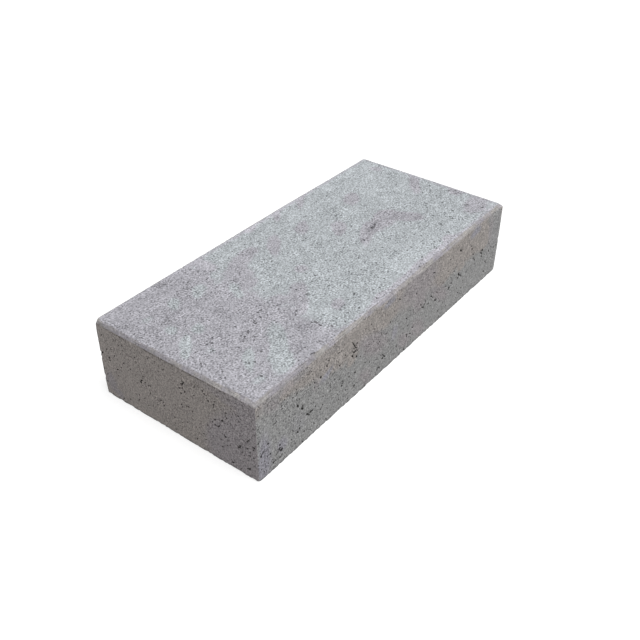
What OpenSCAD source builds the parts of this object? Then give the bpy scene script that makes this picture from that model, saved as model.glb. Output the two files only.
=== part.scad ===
// Concrete block step: one solid pressed block with a flat tread, square faces,
// a chamfer all round the tread and slightly rounded upright corners.
// Origin at the centre of the underside, +X along the step, +Y to the back, +Z up.

/* [Block] */
// Length of the step, end to end
step_length = 750; // [300:5:1200]
// Depth of the step, front to back
step_depth = 340; // [200:5:500]
// Height of the step, underside to tread
step_height = 155; // [80:5:200]

/* [Edges] */
// Width of the chamfer round the tread, measured across the tread
chamfer_width = 5.5; // [1:0.5:30]
// Drop of the chamfer round the tread, measured down the faces
chamfer_drop = 7; // [1:0.5:30]
// Radius of the four upright corners
corner_radius = 2.5; // [0.5:0.5:20]

/* [Hidden] */
// Facets of a corner circle
corner_facets = 48;
// Colour of the concrete
concrete_grey = [0.60, 0.59, 0.57];

// Upright section across one direction: a rectangle with its two top corners cut off
module chamfered_section(width) {
    half_face = width / 2;
    half_tread = half_face - chamfer_width;
    shoulder = step_height - chamfer_drop;
    polygon([
        [-half_face, 0],
        [half_face, 0],
        [half_face, shoulder],
        [half_tread, step_height],
        [-half_tread, step_height],
        [-half_face, shoulder]
    ]);
}

// Section across the given width, run along the Y axis for the given length
module chamfered_prism(width, run) {
    translate([0, run / 2, 0])
        rotate([90, 0, 0])
            linear_extrude(height = run)
                chamfered_section(width);
}

// Outline of the block seen from above, a rectangle with rounded corners
module plan_outline() {
    corner_x = step_length / 2 - corner_radius;
    corner_y = step_depth / 2 - corner_radius;
    square([step_length, 2 * corner_y], center = true);
    square([2 * corner_x, step_depth], center = true);
    for (side_x = [-1, 1], side_y = [-1, 1])
        translate([side_x * corner_x, side_y * corner_y])
            circle(r = corner_radius, $fn = corner_facets);
}

// The block is what the long section, the cross section and the plan have in common
module block_step() {
    color(concrete_grey)
        intersection() {
            chamfered_prism(step_length, step_depth);
            rotate([0, 0, 90])
                chamfered_prism(step_depth, step_length);
            linear_extrude(height = step_height)
                plan_outline();
        }
}

block_step();
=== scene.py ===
"""The looks of a pressed concrete block step, built round its CAD solid.

One closed skin stands for the block. It is worked out on a grid that runs from the underside up the
faces, over the chamfer and across the tread, and its points are then moved inwards by the relief: worn
and chipped arrises, a crumbly bottom edge, open blowholes and a faint ledge under the chamfer. Numbers
that the shape knows, such as how deep a point lies in a blowhole, go with it as attributes, and one
procedural material turns them and the grain of the concrete into colour, roughness and bump.
Lengths are in metres and the frame is the CAD's: +X along the step, +Y to the back, +Z up.
"""

import math

import bpy
import numpy as np
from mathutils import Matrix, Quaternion, Vector


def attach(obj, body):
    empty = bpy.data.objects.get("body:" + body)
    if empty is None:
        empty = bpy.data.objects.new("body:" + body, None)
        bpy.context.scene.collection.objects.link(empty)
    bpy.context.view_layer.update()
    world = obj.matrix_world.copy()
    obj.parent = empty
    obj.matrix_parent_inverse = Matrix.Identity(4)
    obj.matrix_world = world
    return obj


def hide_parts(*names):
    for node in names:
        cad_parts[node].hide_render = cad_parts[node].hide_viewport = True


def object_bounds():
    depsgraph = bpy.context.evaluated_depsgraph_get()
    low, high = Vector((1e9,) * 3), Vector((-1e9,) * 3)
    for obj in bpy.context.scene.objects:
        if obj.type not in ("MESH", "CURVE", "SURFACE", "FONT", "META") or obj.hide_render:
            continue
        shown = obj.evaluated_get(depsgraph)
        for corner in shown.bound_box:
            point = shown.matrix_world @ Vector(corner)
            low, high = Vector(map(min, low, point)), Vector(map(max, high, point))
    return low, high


MM = 0.001

# ---------------------------------------------------------------- the CAD block and its sizes

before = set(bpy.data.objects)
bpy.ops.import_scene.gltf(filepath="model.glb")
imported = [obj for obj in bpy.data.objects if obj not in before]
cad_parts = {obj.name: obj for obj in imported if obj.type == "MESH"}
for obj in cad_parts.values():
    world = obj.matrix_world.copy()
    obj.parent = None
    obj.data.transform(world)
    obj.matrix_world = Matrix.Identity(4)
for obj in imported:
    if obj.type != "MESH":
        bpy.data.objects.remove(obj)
cad_low, cad_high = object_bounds()
NODE = "block_step"
LENGTH, DEPTH, HEIGHT = (cad_high - cad_low)[:]
cad_points = np.array([v.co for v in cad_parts[NODE].data.vertices])
highest = cad_points[:, 2] > cad_high.z - 0.1 * MM
CHAMFER_WIDTH = LENGTH / 2 - cad_points[highest, 0].max()
CHAMFER_DROP = HEIGHT - cad_points[~highest, 2].max()
SHOULDER = HEIGHT - CHAMFER_DROP  # height of the chamfer's lower arris

# ---------------------------------------------------------------- sizes of the skin

CELL = 2.25 * MM  # spacing of the grid along and up the faces
ARRIS_CELL = 1.0 * MM  # spacing beside an arris
ARRIS_CELLS = 3  # how many such cells beside each arris
CHAMFER_ROWS = 4
TREAD_RIM = np.array([1.5, 3.5, 6.0]) * MM  # rings on the tread, in from the chamfer
UNDER_RIM = np.array([3.5, 1.2]) * MM  # rings on the underside, in from the faces
RING_STEP = 4.0 * MM  # width of a ring where the grid halves
ATLAS_GAP = 5.0 * MM  # between the faces' islands on the texture map
UNDER_SHARE = 0.5  # scale of the underside's island beside the others
TOUCH = 0.01 * MM  # how near a point of the sharp grid lies to the face or the level that it is on

# Rounding of the arrises: the width over which two faces run together
UPRIGHT_WEAR = 2.4 * MM
SHOULDER_WEAR = 0.8 * MM
TREAD_WEAR = 0.8 * MM
BOTTOM_WEAR = 0.9 * MM
CORNER_WEAR = 3.0 * MM  # added at the four bottom corners
TOP_CORNER_WEAR = 5.0 * MM  # added to the chamfer's mitres at the four top corners
TOP_UPRIGHT_SHARE = 0.3  # of that, added to the upright arrises just under the mitres
TOP_CORNER_SHARES = ((1.0, 1.2), (1.7, 0.3))  # how worn they are: right back and front, left back and front
CORNER_REACH = 9.0 * MM
WEAR_WAVE = 20 * MM  # features of the noise that varies all of these
WEAR_UNEVEN = 0.5

# Relief of the faces and the tread
FACE_SWELL = 0.16 * MM  # slow waves of the faces
TREAD_SWELL = 0.25 * MM
SWELL_WAVE = 34 * MM
SWELL_START = 12 * MM  # height at which the waves are full, from none at the foot
LEDGE_DEPTH = 0.5 * MM  # groove that the stamp leaves under the chamfer
LEDGE_WIDTH = 1.0 * MM
LEDGE_WAVE = 25 * MM
LEDGE_UNEVEN = 0.7
CRUMBLE_DEPTH = 2.0 * MM  # ragged strip above the bottom arris
CRUMBLE_HEIGHT = 2.6 * MM
CRUMB_SIZE = 8 * MM
CRUMB_EXTRA = 0.05  # added to its noise, so that a little over half of the strip is crumbled

# How unevenly the stamp cut the chamfer
LEFT_TWIST = 2.1 * MM  # narrower and deeper at the left end's back corner, wider at its front one
LEFT_SINK = 1.0 * MM  # the same way, halfway along the left end
RIGHT_WIDER = 1.5 * MM  # wider at the right end's front corner
FRONT_WIDER = 1.2 * MM  # wider along the right half of the front
FRONT_SHALLOWER = 0.8 * MM  # shallower at the right end of the front
FRONT_CORNER = 2.6 * MM  # wider still at the front's right corner
FRONT_CORNER_RUN = 26.0 * MM
BACK_NARROWER = 2.0 * MM  # narrower along the back
BACK_WIDER = 1.2 * MM  # wider at the right end of the back
CORNER_FADE = 12.0 * MM  # over which the tint's share of an uneven chamfer fades at a corner

# Tints, and painted light and shade, that go with the shape
STEEP_PAINTED_LIGHT = 2.2  # how much paler the left end's chamfer is where it is steep, painted light that makes up for the light the steeper slope loses
LEFT_FRONT_HIGHLIGHT = (1.0, 0.16)  # that upright arris: the narrowness of its line, a painted highlight, and how much paler it is
OTHER_UPRIGHTS = (0.5, -0.95)  # the other three, whose lines are broader and darker
FOOT_HEIGHT = 1.1 * MM  # over which the painted contact shadow fades above the bottom arris
FOOT_START = 1.3 * MM  # and where that starts

# Zones of the skin; the four faces come in the order of the outline
FRONT, RIGHT, BACK, LEFT, TREAD, UNDER = range(6)

# How many times the radii of its table a face's blowholes have, at its left and at its right end
HOLE_GROWTH = {FRONT: (0.95, 1.235), LEFT: (0.813, 0.813), TREAD: (0.98, 1.08)}

# Blowholes of the three faces whose holes are listed one by one, in mm. Each row: place along the face from
# its middle to the right, as seen from outside; place up it, or across the tread from its middle; radius.
FRONT_HOLES = (
    (-201, 125, 1.6), (-206, 118, 1.8), (-222, 106, 2.2), (-238, 105, 1.4), (-241, 114, 1.2),
    (-238, 95, 1.1), (-249, 108, 1.1), (-228, 87, 1.2), (-246, 133, 1), (-242, 125, 1), (-282, 122, 1.2),
    (-282, 113, 1.1), (-291, 112, 1.2), (-317, 108, 1.3), (-371, 107, 1.3), (-369, 132, 1.2),
    (-280, 87, 2.2), (-276, 98, 1.3), (-269, 74, 2.4), (-268, 80, 1.2), (-351, 63, 1.9), (-362, 55, 1.4),
    (-367, 50, 2.1), (-372, 80, 1.3), (-257, 53, 1.9), (-253, 49, 1.6), (-250, 53, 1.4), (-244, 52, 1.4),
    (-236, 55, 1.3), (-324, 39, 1.7), (-326, 32, 1.6), (-322, 27, 2.3), (-318, 28, 1.5), (-276, 38, 1.8),
    (-281, 34, 1.9), (-347, 39, 1.5), (-354, 38, 1.1), (-360, 34, 1.3), (-368, 23, 1.3), (-353, 24, 1.3),
    (-362, 13, 1.2), (-341, 15, 1.5), (-336, 17, 1.2), (-333, 27, 1.2), (-325, 14, 1.3), (-320, 17, 1.2),
    (-265, 23, 1.5), (-288, 15, 1.3), (-270, 4, 1.4), (-222, 39, 1.4), (-217, 45, 1.3), (-216, 62, 1.1),
    (-208, 7, 1.5), (-240, 22, 1.2), (-196, 67, 1.1), (-297, 29, 1.2), (-135, 117, 1.6), (-132, 112, 1.9),
    (-125, 113, 1.6), (-129, 106, 1.6), (-138, 105, 1.3), (-133, 99, 1.8), (-137, 93, 2), (-128, 98, 1.4),
    (-125, 85, 2), (-123, 97, 1.2), (-139, 122, 1.1), (-175, 124, 1.3), (-157, 108, 1.3), (-172, 96, 1.6),
    (-162, 57, 1.5), (-166, 49, 1.7), (-145, 55, 1.5), (-128, 53, 1.7), (-148, 65, 1.1), (-131, 75, 1.2),
    (-173, 68, 1.2), (-186, 77, 1.3), (-98, 77, 1.2), (-114, 78, 1.1), (-75, 85, 1.2), (-57, 73, 1.3),
    (-61, 71, 1.2), (-101, 127, 1.2), (-85, 127, 1.2), (-76, 112, 1.2), (-25, 97, 1.4), (-51, 85, 1.2),
    (-37, 78, 1.3), (-45, 29, 2.1), (-45, 37, 1.6), (-37, 29, 1.5), (-41, 33, 1.3), (-57, 19, 1.6),
    (-53, 14, 1.5), (-65, 39, 1.3), (-129, 25, 1.3), (-154, 32, 1.3), (-147, 9, 1.5), (-98, 4, 1.4),
    (-1, 29, 1.6), (-99, 55, 1.2), (-85, 47, 1.2), (1, 129, 1.6), (17, 127, 1.3), (57, 111, 1.7),
    (49, 80, 1.2), (28, 73, 1.5), (34, 54, 1.6), (19, 56, 1.2), (52, 39, 1.4), (34, 31, 1.8),
    (43, 31, 1.2), (81, 68, 1.5), (85, 65, 1.4), (75, 77, 1.2), (92, 75, 1.2), (103, 64, 1.3),
    (111, 75, 1.4), (115, 73, 1.3), (113, 125, 1.3), (117, 124, 1.2), (130, 56, 1.7), (127, 58, 1.3),
    (132, 73, 1.4), (145, 45, 1.6), (143, 24, 1.5), (153, 83, 1.6), (169, 99, 1.3), (166, 68, 1.3),
    (179, 58, 2), (186, 64, 1.8), (177, 55, 1.2), (27, 5, 1.4), (173, 123, 1.2), (213, 71, 2.4),
    (216, 68, 1.9), (211, 63, 1.7), (224, 61, 1.3), (210, 125, 1.8), (213, 123, 1.5), (193, 88, 1.3),
    (253, 113, 1.5), (258, 105, 1.7), (266, 89, 1.5), (258, 85, 1.2), (268, 79, 1.4), (274, 74, 1.7),
    (276, 61, 1.3), (246, 58, 1.2), (304, 80, 2), (301, 75, 2), (305, 66, 1.8), (336, 63, 1.6),
    (356, 61, 1.4), (326, 43, 1.6), (324, 19, 1.4), (218, 25, 1.3), (233, 43, 1.2),
)
LEFT_HOLES = (
    (-164, 89, 2.2), (-157, 128, 1.5), (-109, 129, 1.6), (-117, 126, 1.2), (-50, 132, 1.3),
    (-82, 119, 1.3), (-151, 102, 1.7), (-139, 108, 1.6), (-133, 97, 1.6), (-112, 92, 1.7), (-97, 87, 1.5),
    (-148, 86, 1.8), (-147, 81, 1.6), (-121, 78, 1.7), (-131, 69, 1.8), (-131, 56, 1.3), (-73, 76, 1.7),
    (-76, 60, 1.8), (-56, 58, 1.5), (-32, 56, 1.6), (-26, 49, 1.5), (-85, 39, 1.5), (-72, 38, 1.6),
    (-88, 26, 1.7), (-110, 16, 1.5), (-4, 36, 1.5), (-65, 76, 1.2), (-57, 74, 1.3), (23, 119, 1.9),
    (20, 118, 1.4), (26, 124, 1.5), (22, 110, 1.7), (26, 105, 1.7), (18, 98, 1.5), (15, 107, 1.3),
    (16, 74, 1.5), (39, 72, 1.5), (27, 76, 1.2), (66, 128, 1.6), (69, 124, 1.5), (76, 114, 1.6),
    (72, 117, 1.2), (87, 113, 1.6), (90, 120, 1.1), (86, 107, 1.3), (46, 108, 1.5), (111, 109, 1.5),
    (111, 99, 1.9), (102, 88, 2.2), (81, 75, 1.3), (92, 71, 2), (86, 72, 1.4), (95, 74, 1.2),
    (106, 57, 1.8), (104, 61, 1.4), (154, 79, 1.6), (163, 69, 2), (162, 64, 1.4), (150, 60, 1.6),
    (133, 52, 2.3), (136, 57, 1.6), (162, 47, 1.6), (152, 47, 1.3), (96, 47, 1.4), (143, 41, 1.4),
    (139, 45, 1.2), (59, 37, 1.6), (98, 33, 1.5), (70, 61, 1.5), (25, 41, 1.3), (42, 16, 1.8),
    (118, 11, 2.1), (136, 117, 1.3), (49, 127, 1.2), (63, 27, 1.2), (109, 41, 1.2), (155, 55, 1.2),
    (148, 17, 1.4),
)
TREAD_HOLES = (
    (-165, -116, 1.8), (-170, -112, 1.3), (-229, -162, 1.8), (-161, -73, 1.5), (-170, -79, 1.3),
    (-227, -43, 1.4), (-249, -47, 1.4), (-263, -52, 1.5), (-265, -46, 1.2), (-273, -58, 1.3),
    (-254, -65, 1.4), (-276, -97, 1.3), (-308, -101, 1.2), (-300, -105, 1.5), (-319, -134, 1.5),
    (-319, -37, 1.2), (-346, -82, 1.2), (-353, -45, 1.2), (-296, -15, 1.4), (-306, -23, 1.3),
    (-202, -27, 1.5), (-194, -26, 1.5), (-209, -39, 1.2), (-167, -39, 1.2), (-202, -151, 1.3),
    (-158, -142, 1.2), (-168, -128, 1.2), (-138, -137, 1.2), (-135, -152, 1.2), (-234, -160, 1.2),
    (-204, -67, 1.2), (-69, -71, 1.8), (-113, -57, 1.4), (-109, -60, 1.2), (-92, -149, 1.6),
    (-34, -137, 1.5), (-22, -142, 1.4), (27, -126, 1.4), (5, -133, 1.3), (2, -122, 1.3), (107, -115, 1.5),
    (121, -114, 1.4), (-113, -142, 1.3), (-114, -128, 1.2), (-62, -117, 1.3), (-83, -121, 1.4),
    (-114, -24, 1.2), (-113, -34, 1.2), (-64, -17, 1.4), (-60, -33, 1.2), (-58, -59, 1.3), (-14, -73, 1.2),
    (38, -94, 1.3), (88, -73, 1.3), (89, -32, 1.5), (30, -25, 1.2), (96, -153, 1.4), (105, -147, 1.2),
    (75, -161, 1.5), (45, -18, 1.2), (135, -17, 1.6), (139, -20, 1.4), (149, -16, 1.4), (212, -25, 1.4),
    (216, -32, 1.4), (169, -34, 1.4), (349, -15, 1.5), (266, -59, 1.7), (279, -49, 1.2), (319, -49, 1.6),
    (325, -54, 1.3), (302, -73, 1.5), (362, -68, 1.5), (354, -57, 1.4), (167, -108, 1.4), (174, -117, 1.4),
    (227, -114, 1.5), (261, -114, 1.8), (286, -105, 1.4), (324, -117, 1.9), (301, -132, 1.4),
    (332, -145, 1.5), (209, -141, 1.5), (163, -138, 1.3), (146, -153, 1.3), (177, -158, 1.3),
    (245, -86, 1.3), (147, -84, 1.4), (241, -18, 1.2), (324, -30, 1.2),
)
STRAY_HOLES = 70  # single small holes on each long face and the tread; an end has its share by length
STRAY_RADII = (0.7, 1.2)  # mm
FAR_GROUPS = 15  # groups drawn at random on the back; the right end has its share by length
FAR_SPREADS = (3, 16)  # mm, half the breadth of such a group each way
FAR_COUNTS = (2, 9)  # holes in a group, the second number left out
FAR_WIDEST = (1.4, 2.3)  # mm, radius of the group's widest hole
GROUP_RADII = (0.42, 0.9)  # radii of a group's other holes, as shares of its widest
ARRIS_FREE = 1.2  # a hole nearer an arris than this many radii is left out
HOLE_REACH = 4.2  # how far a hole draws the grid in, in radii
HOLE_PULL = 1.8  # power by which it does
HOLE_DEPTH = 1.25  # depth of a hole in radii
HOLE_UNEVEN = 0.28  # how far noise pushes a bowl's rim in and out, as a share of its radius
HOLE_WAVE = 2.2 * MM
SMALLEST_BOWL = 1.3 * MM  # a hole of a smaller radius is only in the material
HOLE_SLANTS = {FRONT: -50, LEFT: 40, TREAD: 37}  # degrees up from the face's length
SLANT_SPREAD = 30  # degrees either way
LOBE_STEP = 0.7  # between the three lobes of a hole, in radii
LOBE_RADIUS = 0.8
FAR_MARGIN = 400.0  # mm2, for a point far from every hole

# The film on the tread: its rosier and darker left third, the rosy rim and the paler far rim
LEFT_ROSY = 0.95
LEFT_DARK = 0.40
LEFT_BORDER = (-0.25 * LENGTH, -0.185 * LENGTH)  # where the left third fades out
BORDER_WANDER = 16 * MM
RIM_ROSY = 0.6
RIM_FADE = (9 * MM, 18 * MM)  # from the outline of the block
FAR_RIM_BREADTH = 7 * MM  # of the paler strip along the back and the right of the tread
FAR_RIM_SHARES = (1.0, 0.55)  # how pale it is along the back and along the right
STAIN_WANDER = 7 * MM  # how far noise pushes the stains' outlines about
SHADE_GAIN = 1.25  # how many times as dark or as pale as its row says a small colourless stain is

# Stains on the tread. Each row: centre in mm along and across from the middle; half length and half width
# in mm; turn in degrees; how rosy, where a minus sign is greener; how dark, where a minus is paler.
TREAD_STAINS = (
    (110, -24, 46, 13, 32, 1, 0.3), (137, -20, 22, 20, 0, 0.9, 0.3), (186, -12, 30, 18, 0, 1.4, 0.7),
    (209, -46, 36, 18, -55, 1.4, 0.6), (-95, 101, 46, 19, 10, 1, 0.5), (-66, 106, 11, 9, 0, 0.3, 0.9),
    (-135, 68, 24, 28, 0, 1, 0.2), (-119, -42, 38, 17, 30, 1, 0.4), (-26, 86, 38, 13, 40, 1.1, 0.3),
    (-33, 76, 12, 10, 0, 0.4, 0.4), (57, 87, 27, 14, 30, 1, 0.4), (205, 77, 28, 15, 35, 1, 0.3),
    (190, 82, 20, 11, 0, 0.3, 1.2), (98, 32, 28, 14, 35, 1, 0), (85, 20, 15, 8, 0, 0.3, 1.3),
    (-57, 0, 15, 13, 0, 0.8, 0), (-102, -115, 18, 12, 30, 0.9, 0.2), (334, -128, 42, 24, 10, 1, 0.3),
    (356, -70, 16, 15, 0, 0.9, 0.5), (335, 12, 44, 13, 37, 1, 0.1), (345, 28, 9, 14, 0, 0.2, 1.2),
    (100, -160, 112, 11, 0, 1.1, -0.3), (-45, -158, 26, 10, 10, 0.8, 0), (190, -150, 15, 12, 0, 0.8, 0),
    (60, 150, 24, 9, 40, 0.8, 0.1), (132, 150, 30, 8, 30, 0.8, 0.2), (-10, 158, 14, 9, 0, 0.8, 0),
    (346, 116, 12, 15, 0, 0.8, 0), (-267, 100, 19, 11, 45, -1, 0), (-215, 92, 21, 12, 38, -1, -0.2),
    (-320, 50, 15, 10, 45, -0.8, -0.2), (-293, 20, 16, 10, 38, -0.9, 0), (-341, 0, 38, 10, 42, -1, -0.5),
    (-178, 40, 24, 10, 58, -0.9, -0.6), (-302, -96, 30, 9, 42, -1, -0.2),
    (-272, -134, 36, 20, 48, -1, -0.9), (-232, -92, 38, 16, 48, -1, 0.1),
    (-326, -139, 15, 10, 0, -0.6, -0.2), (-320, -33, 11, 9, 0, -0.5, 0), (-325, 100, 12, 9, 0, -0.5, 0),
    (-172, 95, 22, 10, 50, -0.4, -0.2), (96, -128, 66, 20, 0, 0, -1.1), (30, -134, 90, 16, 0, 0, -0.4),
    (-150, 140, 16, 26, 0, 0.8, 0), (-146, 38, 16, 12, 0, 0.8, 0.2), (-150, -28, 14, 14, 0, 0.9, 0),
    (-140, -70, 24, 11, 30, 0.9, 0.1), (165, -30, 22, 14, -40, 0.8, 0), (-290, 105, 95, 50, 0, 0, 0.4),
    (270, 110, 110, 50, 0, 0, -0.45), (110, 43, 80, 9, 0, 0, -0.6), (130, -130, 110, 30, 0, 0, -0.3),
    (-305, -160, 60, 12, 0, 0, -0.9), (-175, -165, 75, 5, 0, 0, -0.7), (-175, -155, 60, 5, 0, 0, 0.5),
    (-25, -160, 78, 9, 0, 0, -1.4), (125, -154, 76, 8, 0, 0, -1.9), (282, -157, 80, 9, 0, 0, -0.9),
    (50, 160, 155, 6, 0, 0, -1.8), (-25, 143, 75, 9, 0, 0, 0.7), (-175, -147, 70, 6, 0, 0, -0.4),
)

# Small stains on the tread without a colour of their own. Each row is as above, without how rosy.
TREAD_SHADES = (
    (138, -18, 26, 6, 12, 2.6), (88, -32, 8, 7, 0, 1.2), (75, -46, 11, 7, 0, -1.8),
    (-129, 78, 9, 7, 0, 0.8), (318, -118, 14, 9, 0, 0.6), (330, -142, 12, 8, 0, 0.8),
    (-241, 156, 11, 9, 0, 2.2), (-360, 112, 14, 12, 0, 0.9), (-305, 76, 8, 20, 0, 0.9),
    (-240, 72, 12, 9, 0, 0.8), (-218, 72, 8, 7, 0, 0.6), (-158, 54, 8, 18, 0, 1.2),
    (-240, 22, 13, 16, 0, 0.9), (-234, 2, 8, 6, 0, 0.9), (-178, -14, 14, 9, 0, 0.8),
    (-162, -35, 10, 7, 0, 0.6), (-143, -48, 10, 8, 0, 0.4), (-174, -70, 12, 7, 0, 0.6),
    (-186, -111, 18, 15, -30, 1.3), (-235, -138, 15, 9, -20, 1.2), (-225, -95, 9, 6, 0, 0.6),
    (-106, -130, 9, 18, 0, 0.9), (-77, -67, 9, 7, 0, 1), (-265, -50, 11, 7, 0, 0.6),
    (-305, -18, 11, 8, 0, 0.5), (20, 105, 12, 16, 0, 0.4), (28, 20, 16, 9, 0, 0.9),
    (26, -26, 24, 9, 0, 0.8), (128, 68, 14, 20, 0, 0.7), (178, 128, 14, 12, 0, 0.6),
    (172, 8, 12, 10, 0, 0.5), (215, -60, 24, 8, 0, 0.6), (222, -114, 32, 8, 0, 0.7),
    (250, 140, 24, 7, 0, 1), (276, 25, 9, 9, 0, 1), (311, 8, 9, 8, 0, 0.6), (325, -52, 18, 7, 0, 0.7),
    (-35, 62, 12, 8, 0, 0.6), (330, 75, 20, 18, 0, 0.5), (150, 88, 16, 7, 0, 0.7),
    (-150, 142, 11, 22, 0, -1.2), (-70, 138, 16, 6, 0, -0.8), (-98, 135, 10, 7, 0, -0.6),
    (-185, 52, 8, 18, 0, -0.7), (-125, 30, 14, 12, 0, -1), (-145, -84, 15, 14, 0, -1.2),
    (-135, -116, 20, 14, -40, -0.9), (-178, -138, 14, 9, 0, -1), (-215, -158, 10, 6, 0, -1),
    (-252, -30, 9, 12, 0, -0.7), (-326, 14, 9, 16, 0, -0.7), (-350, -14, 14, 9, 0, -0.8),
    (-318, -86, 14, 9, 0, -0.7), (-195, 92, 12, 6, 0, -0.5), (52, -95, 9, 14, 0, -0.9),
    (150, 50, 30, 10, 10, -0.7), (165, 60, 10, 8, 0, -0.5), (240, 20, 10, 24, 0, -1.1),
    (255, 60, 22, 16, 0, -0.6), (290, -68, 12, 8, 0, -0.6), (212, 142, 10, 20, 0, -1.2),
    (290, 150, 40, 8, 0, -0.8), (296, 104, 20, 16, 0, -0.7), (352, 138, 14, 16, 0, -0.9),
    (115, 128, 30, 14, 0, -0.7), (320, -6, 10, 8, 0, -0.8), (8, 45, 20, 8, 0, -0.5),
    (-36, -55, 24, 18, 0, -0.4), (240, -130, 40, 12, 0, -0.4), (-325, -108, 36, 36, 0, -0.4),
    (-130, 105, 24, 34, 0, 0.3), (-345, 100, 22, 40, 0, 0.3), (-342, -122, 14, 36, 0, -0.55),
    (-325, 100, 12, 45, 0, -0.5), (330, -122, 16, 30, 0, -0.7),
)

# Bands of the faces. A long face is tan above a border; an end is grey beside its front arris.
TAN_BORDER = 0.86  # height of the border at the left end, as a share of the face's
TAN_BORDER_FALLS = ((0.24, -0.45, -0.15), (0.06, 0.1, 0.2))  # how far it falls, and between which shares
TAN_WANDER = 0.12  # how far noise pushes it about, and over what it fades, in the same shares
TAN_FADE = 0.10
END_GREY = 112 * MM  # breadth of an end's grey part at its foot
END_GREY_SHRINK = 78 * MM  # how much less it is at the top
END_FADE = 34 * MM
BACK_ROSY = 0.8  # strength of the back's rosy clouds
CREAM_WANDER = 6 * MM
POROUS_REACH = (60 * MM, 240 * MM)  # from the upright arris at the left front
POROUS_WANDER = 50 * MM

# Stains on two faces, listed one by one, as seen from outside. Each row: the face; centre as
# shares along it from its left and up it; half length and half height in mm; turn in degrees; how tan,
# rosy, lilac and dark.
# Four rows on the left end are painted light and shade, not stains: its foot paler and its middle and upper
# left darker, to even out how the light falls on it.
FACE_STAINS_AND_PAINTED_LIGHT = (
    (FRONT, 0.40, 0.55, 50, 24, -32, -0.9, 1.1, 0.0, 0.1),
    (FRONT, 0.373, 0.15, 27, 14, -45, 0.0, 0.9, 0.0, 0.0),
    (FRONT, 0.587, 0.84, 62, 34, 0, -0.9, 1.1, 0.0, 0.2),
    (FRONT, 0.594, 0.55, 22, 18, 0, 0.0, 0.9, 0.0, 0.1),
    (FRONT, 0.533, 0.19, 26, 15, -40, 0.0, 0.9, 0.0, 0.0),
    (FRONT, 0.594, 0.19, 32, 17, -45, 0.0, 0.9, 0.0, 0.0),
    (FRONT, 0.690, 0.44, 44, 15, -38, -0.6, 1.0, 0.0, 0.1),
    (FRONT, 0.02, 0.28, 15, 46, 0, 0.0, 0.0, 1.0, 0.2),
    (FRONT, 0.075, 0.25, 13, 15, 0, 0.0, 0.0, 0.9, 0.3),
    (FRONT, 0.05, 0.86, 18, 10, -20, 0.0, 0.7, 0.0, 0.0),
    (FRONT, 0.19, 0.66, 10, 10, 0, 0.0, 0.6, 0.0, 0.0),
    (FRONT, 0.13, 0.33, 22, 18, -40, 0.0, 0.0, 0.2, 0.3),
    (FRONT, 0.225, 0.68, 20, 6, 25, -0.5, 0.0, 0.9, 0.0),
    (FRONT, 0.46, 0.95, 18, 6, 0, -0.6, 0.0, 0.9, -0.3),
    (FRONT, 0.853, 0.94, 20, 9, 10, -0.8, 0.0, 1.0, 0.0),
    (FRONT, 0.487, 0.44, 8, 15, 0, -0.3, 0.0, 0.8, -0.2),
    (FRONT, 0.94, 0.75, 9, 40, 0, -0.6, 0.7, 0.0, 0.0),
    (FRONT, 0.97, 0.72, 24, 44, 0, -1.0, 0.0, 0.1, -1.1),
    (FRONT, 0.315, 0.57, 16, 10, 20, 0.9, 0.0, 0.0, 0.0),
    (FRONT, 0.70, 0.60, 22, 14, 10, 0.9, 0.0, 0.0, -0.5),
    (FRONT, 0.79, 0.57, 16, 10, 0, 0.9, 0.0, 0.0, 0.0),
    (FRONT, 0.91, 0.62, 16, 9, 15, 0.8, 0.0, 0.0, 0.0),
    (FRONT, 0.25, 0.47, 18, 24, 0, 0.0, 0.0, 0.0, -1.0),
    (FRONT, 0.045, 0.70, 20, 25, 0, 0.0, 0.0, 0.0, -0.8),
    (FRONT, 0.66, 0.85, 40, 20, 0, 0.0, 0.0, 0.0, 0.6),
    (FRONT, 0.09, 0.97, 60, 12, 0, -0.8, 0.6, 0.0, -0.4),
    (FRONT, 0.095, 0.91, 17, 11, 20, 0.9, 0.1, 0.0, -2.3),
    (FRONT, 0.04, 0.92, 12, 8, 0, 0.0, 0.0, 0.0, 0.9),
    (FRONT, 0.012, 0.20, 10, 34, 0, 0.0, 0.0, 0.6, 0.0),
    (FRONT, 0.95, 0.93, 26, 14, 0, -0.9, 0.0, 0.0, 0.5),
    (LEFT, 0.955, 0.86, 14, 14, 0, 0.0, 0.0, 0.0, -0.9),
    (LEFT, 0.99, 0.95, 12, 8, 0, 0.0, 0.0, 0.0, 1.0),
    (FRONT, 0.25, 0.95, 50, 8, 0, -0.3, 0.2, 0.0, 0.0),
    # painted light: paler along the foot
    (LEFT, 0.50, 0.05, 200, 16, 0, 0.0, 0.0, 0.0, -1.6),
    # painted shade: darker in the middle and upper left
    (LEFT, 0.27, 0.72, 55, 45, 0, 0.0, 0.0, 0.0, 1.0),
    (LEFT, 0.50, 0.55, 30, 30, 0, 0.0, 0.0, 0.0, 0.5),
    (LEFT, 0.05, 0.22, 12, 19, 0, -0.6, 0.0, 0.9, 0.0),
    (LEFT, 0.09, 0.09, 11, 8, 0, -0.5, 0.3, 0.9, 0.0),
    (LEFT, 0.30, 0.52, 45, 14, -25, 0.0, 0.0, 0.0, 0.5),
    (LEFT, 0.22, 0.28, 20, 12, 0, 0.0, 0.0, 0.0, -0.4),
    (LEFT, 0.90, 0.55, 22, 12, 40, 0.0, 0.0, 0.2, 0.5),
    (LEFT, 0.84, 0.95, 55, 12, 0, -0.5, 0.0, 0.4, 0.0),
    # painted light: paler along the foot
    (LEFT, 0.50, 0.03, 200, 8, 0, 0.0, 0.0, 0.0, -2.2),
)

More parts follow.
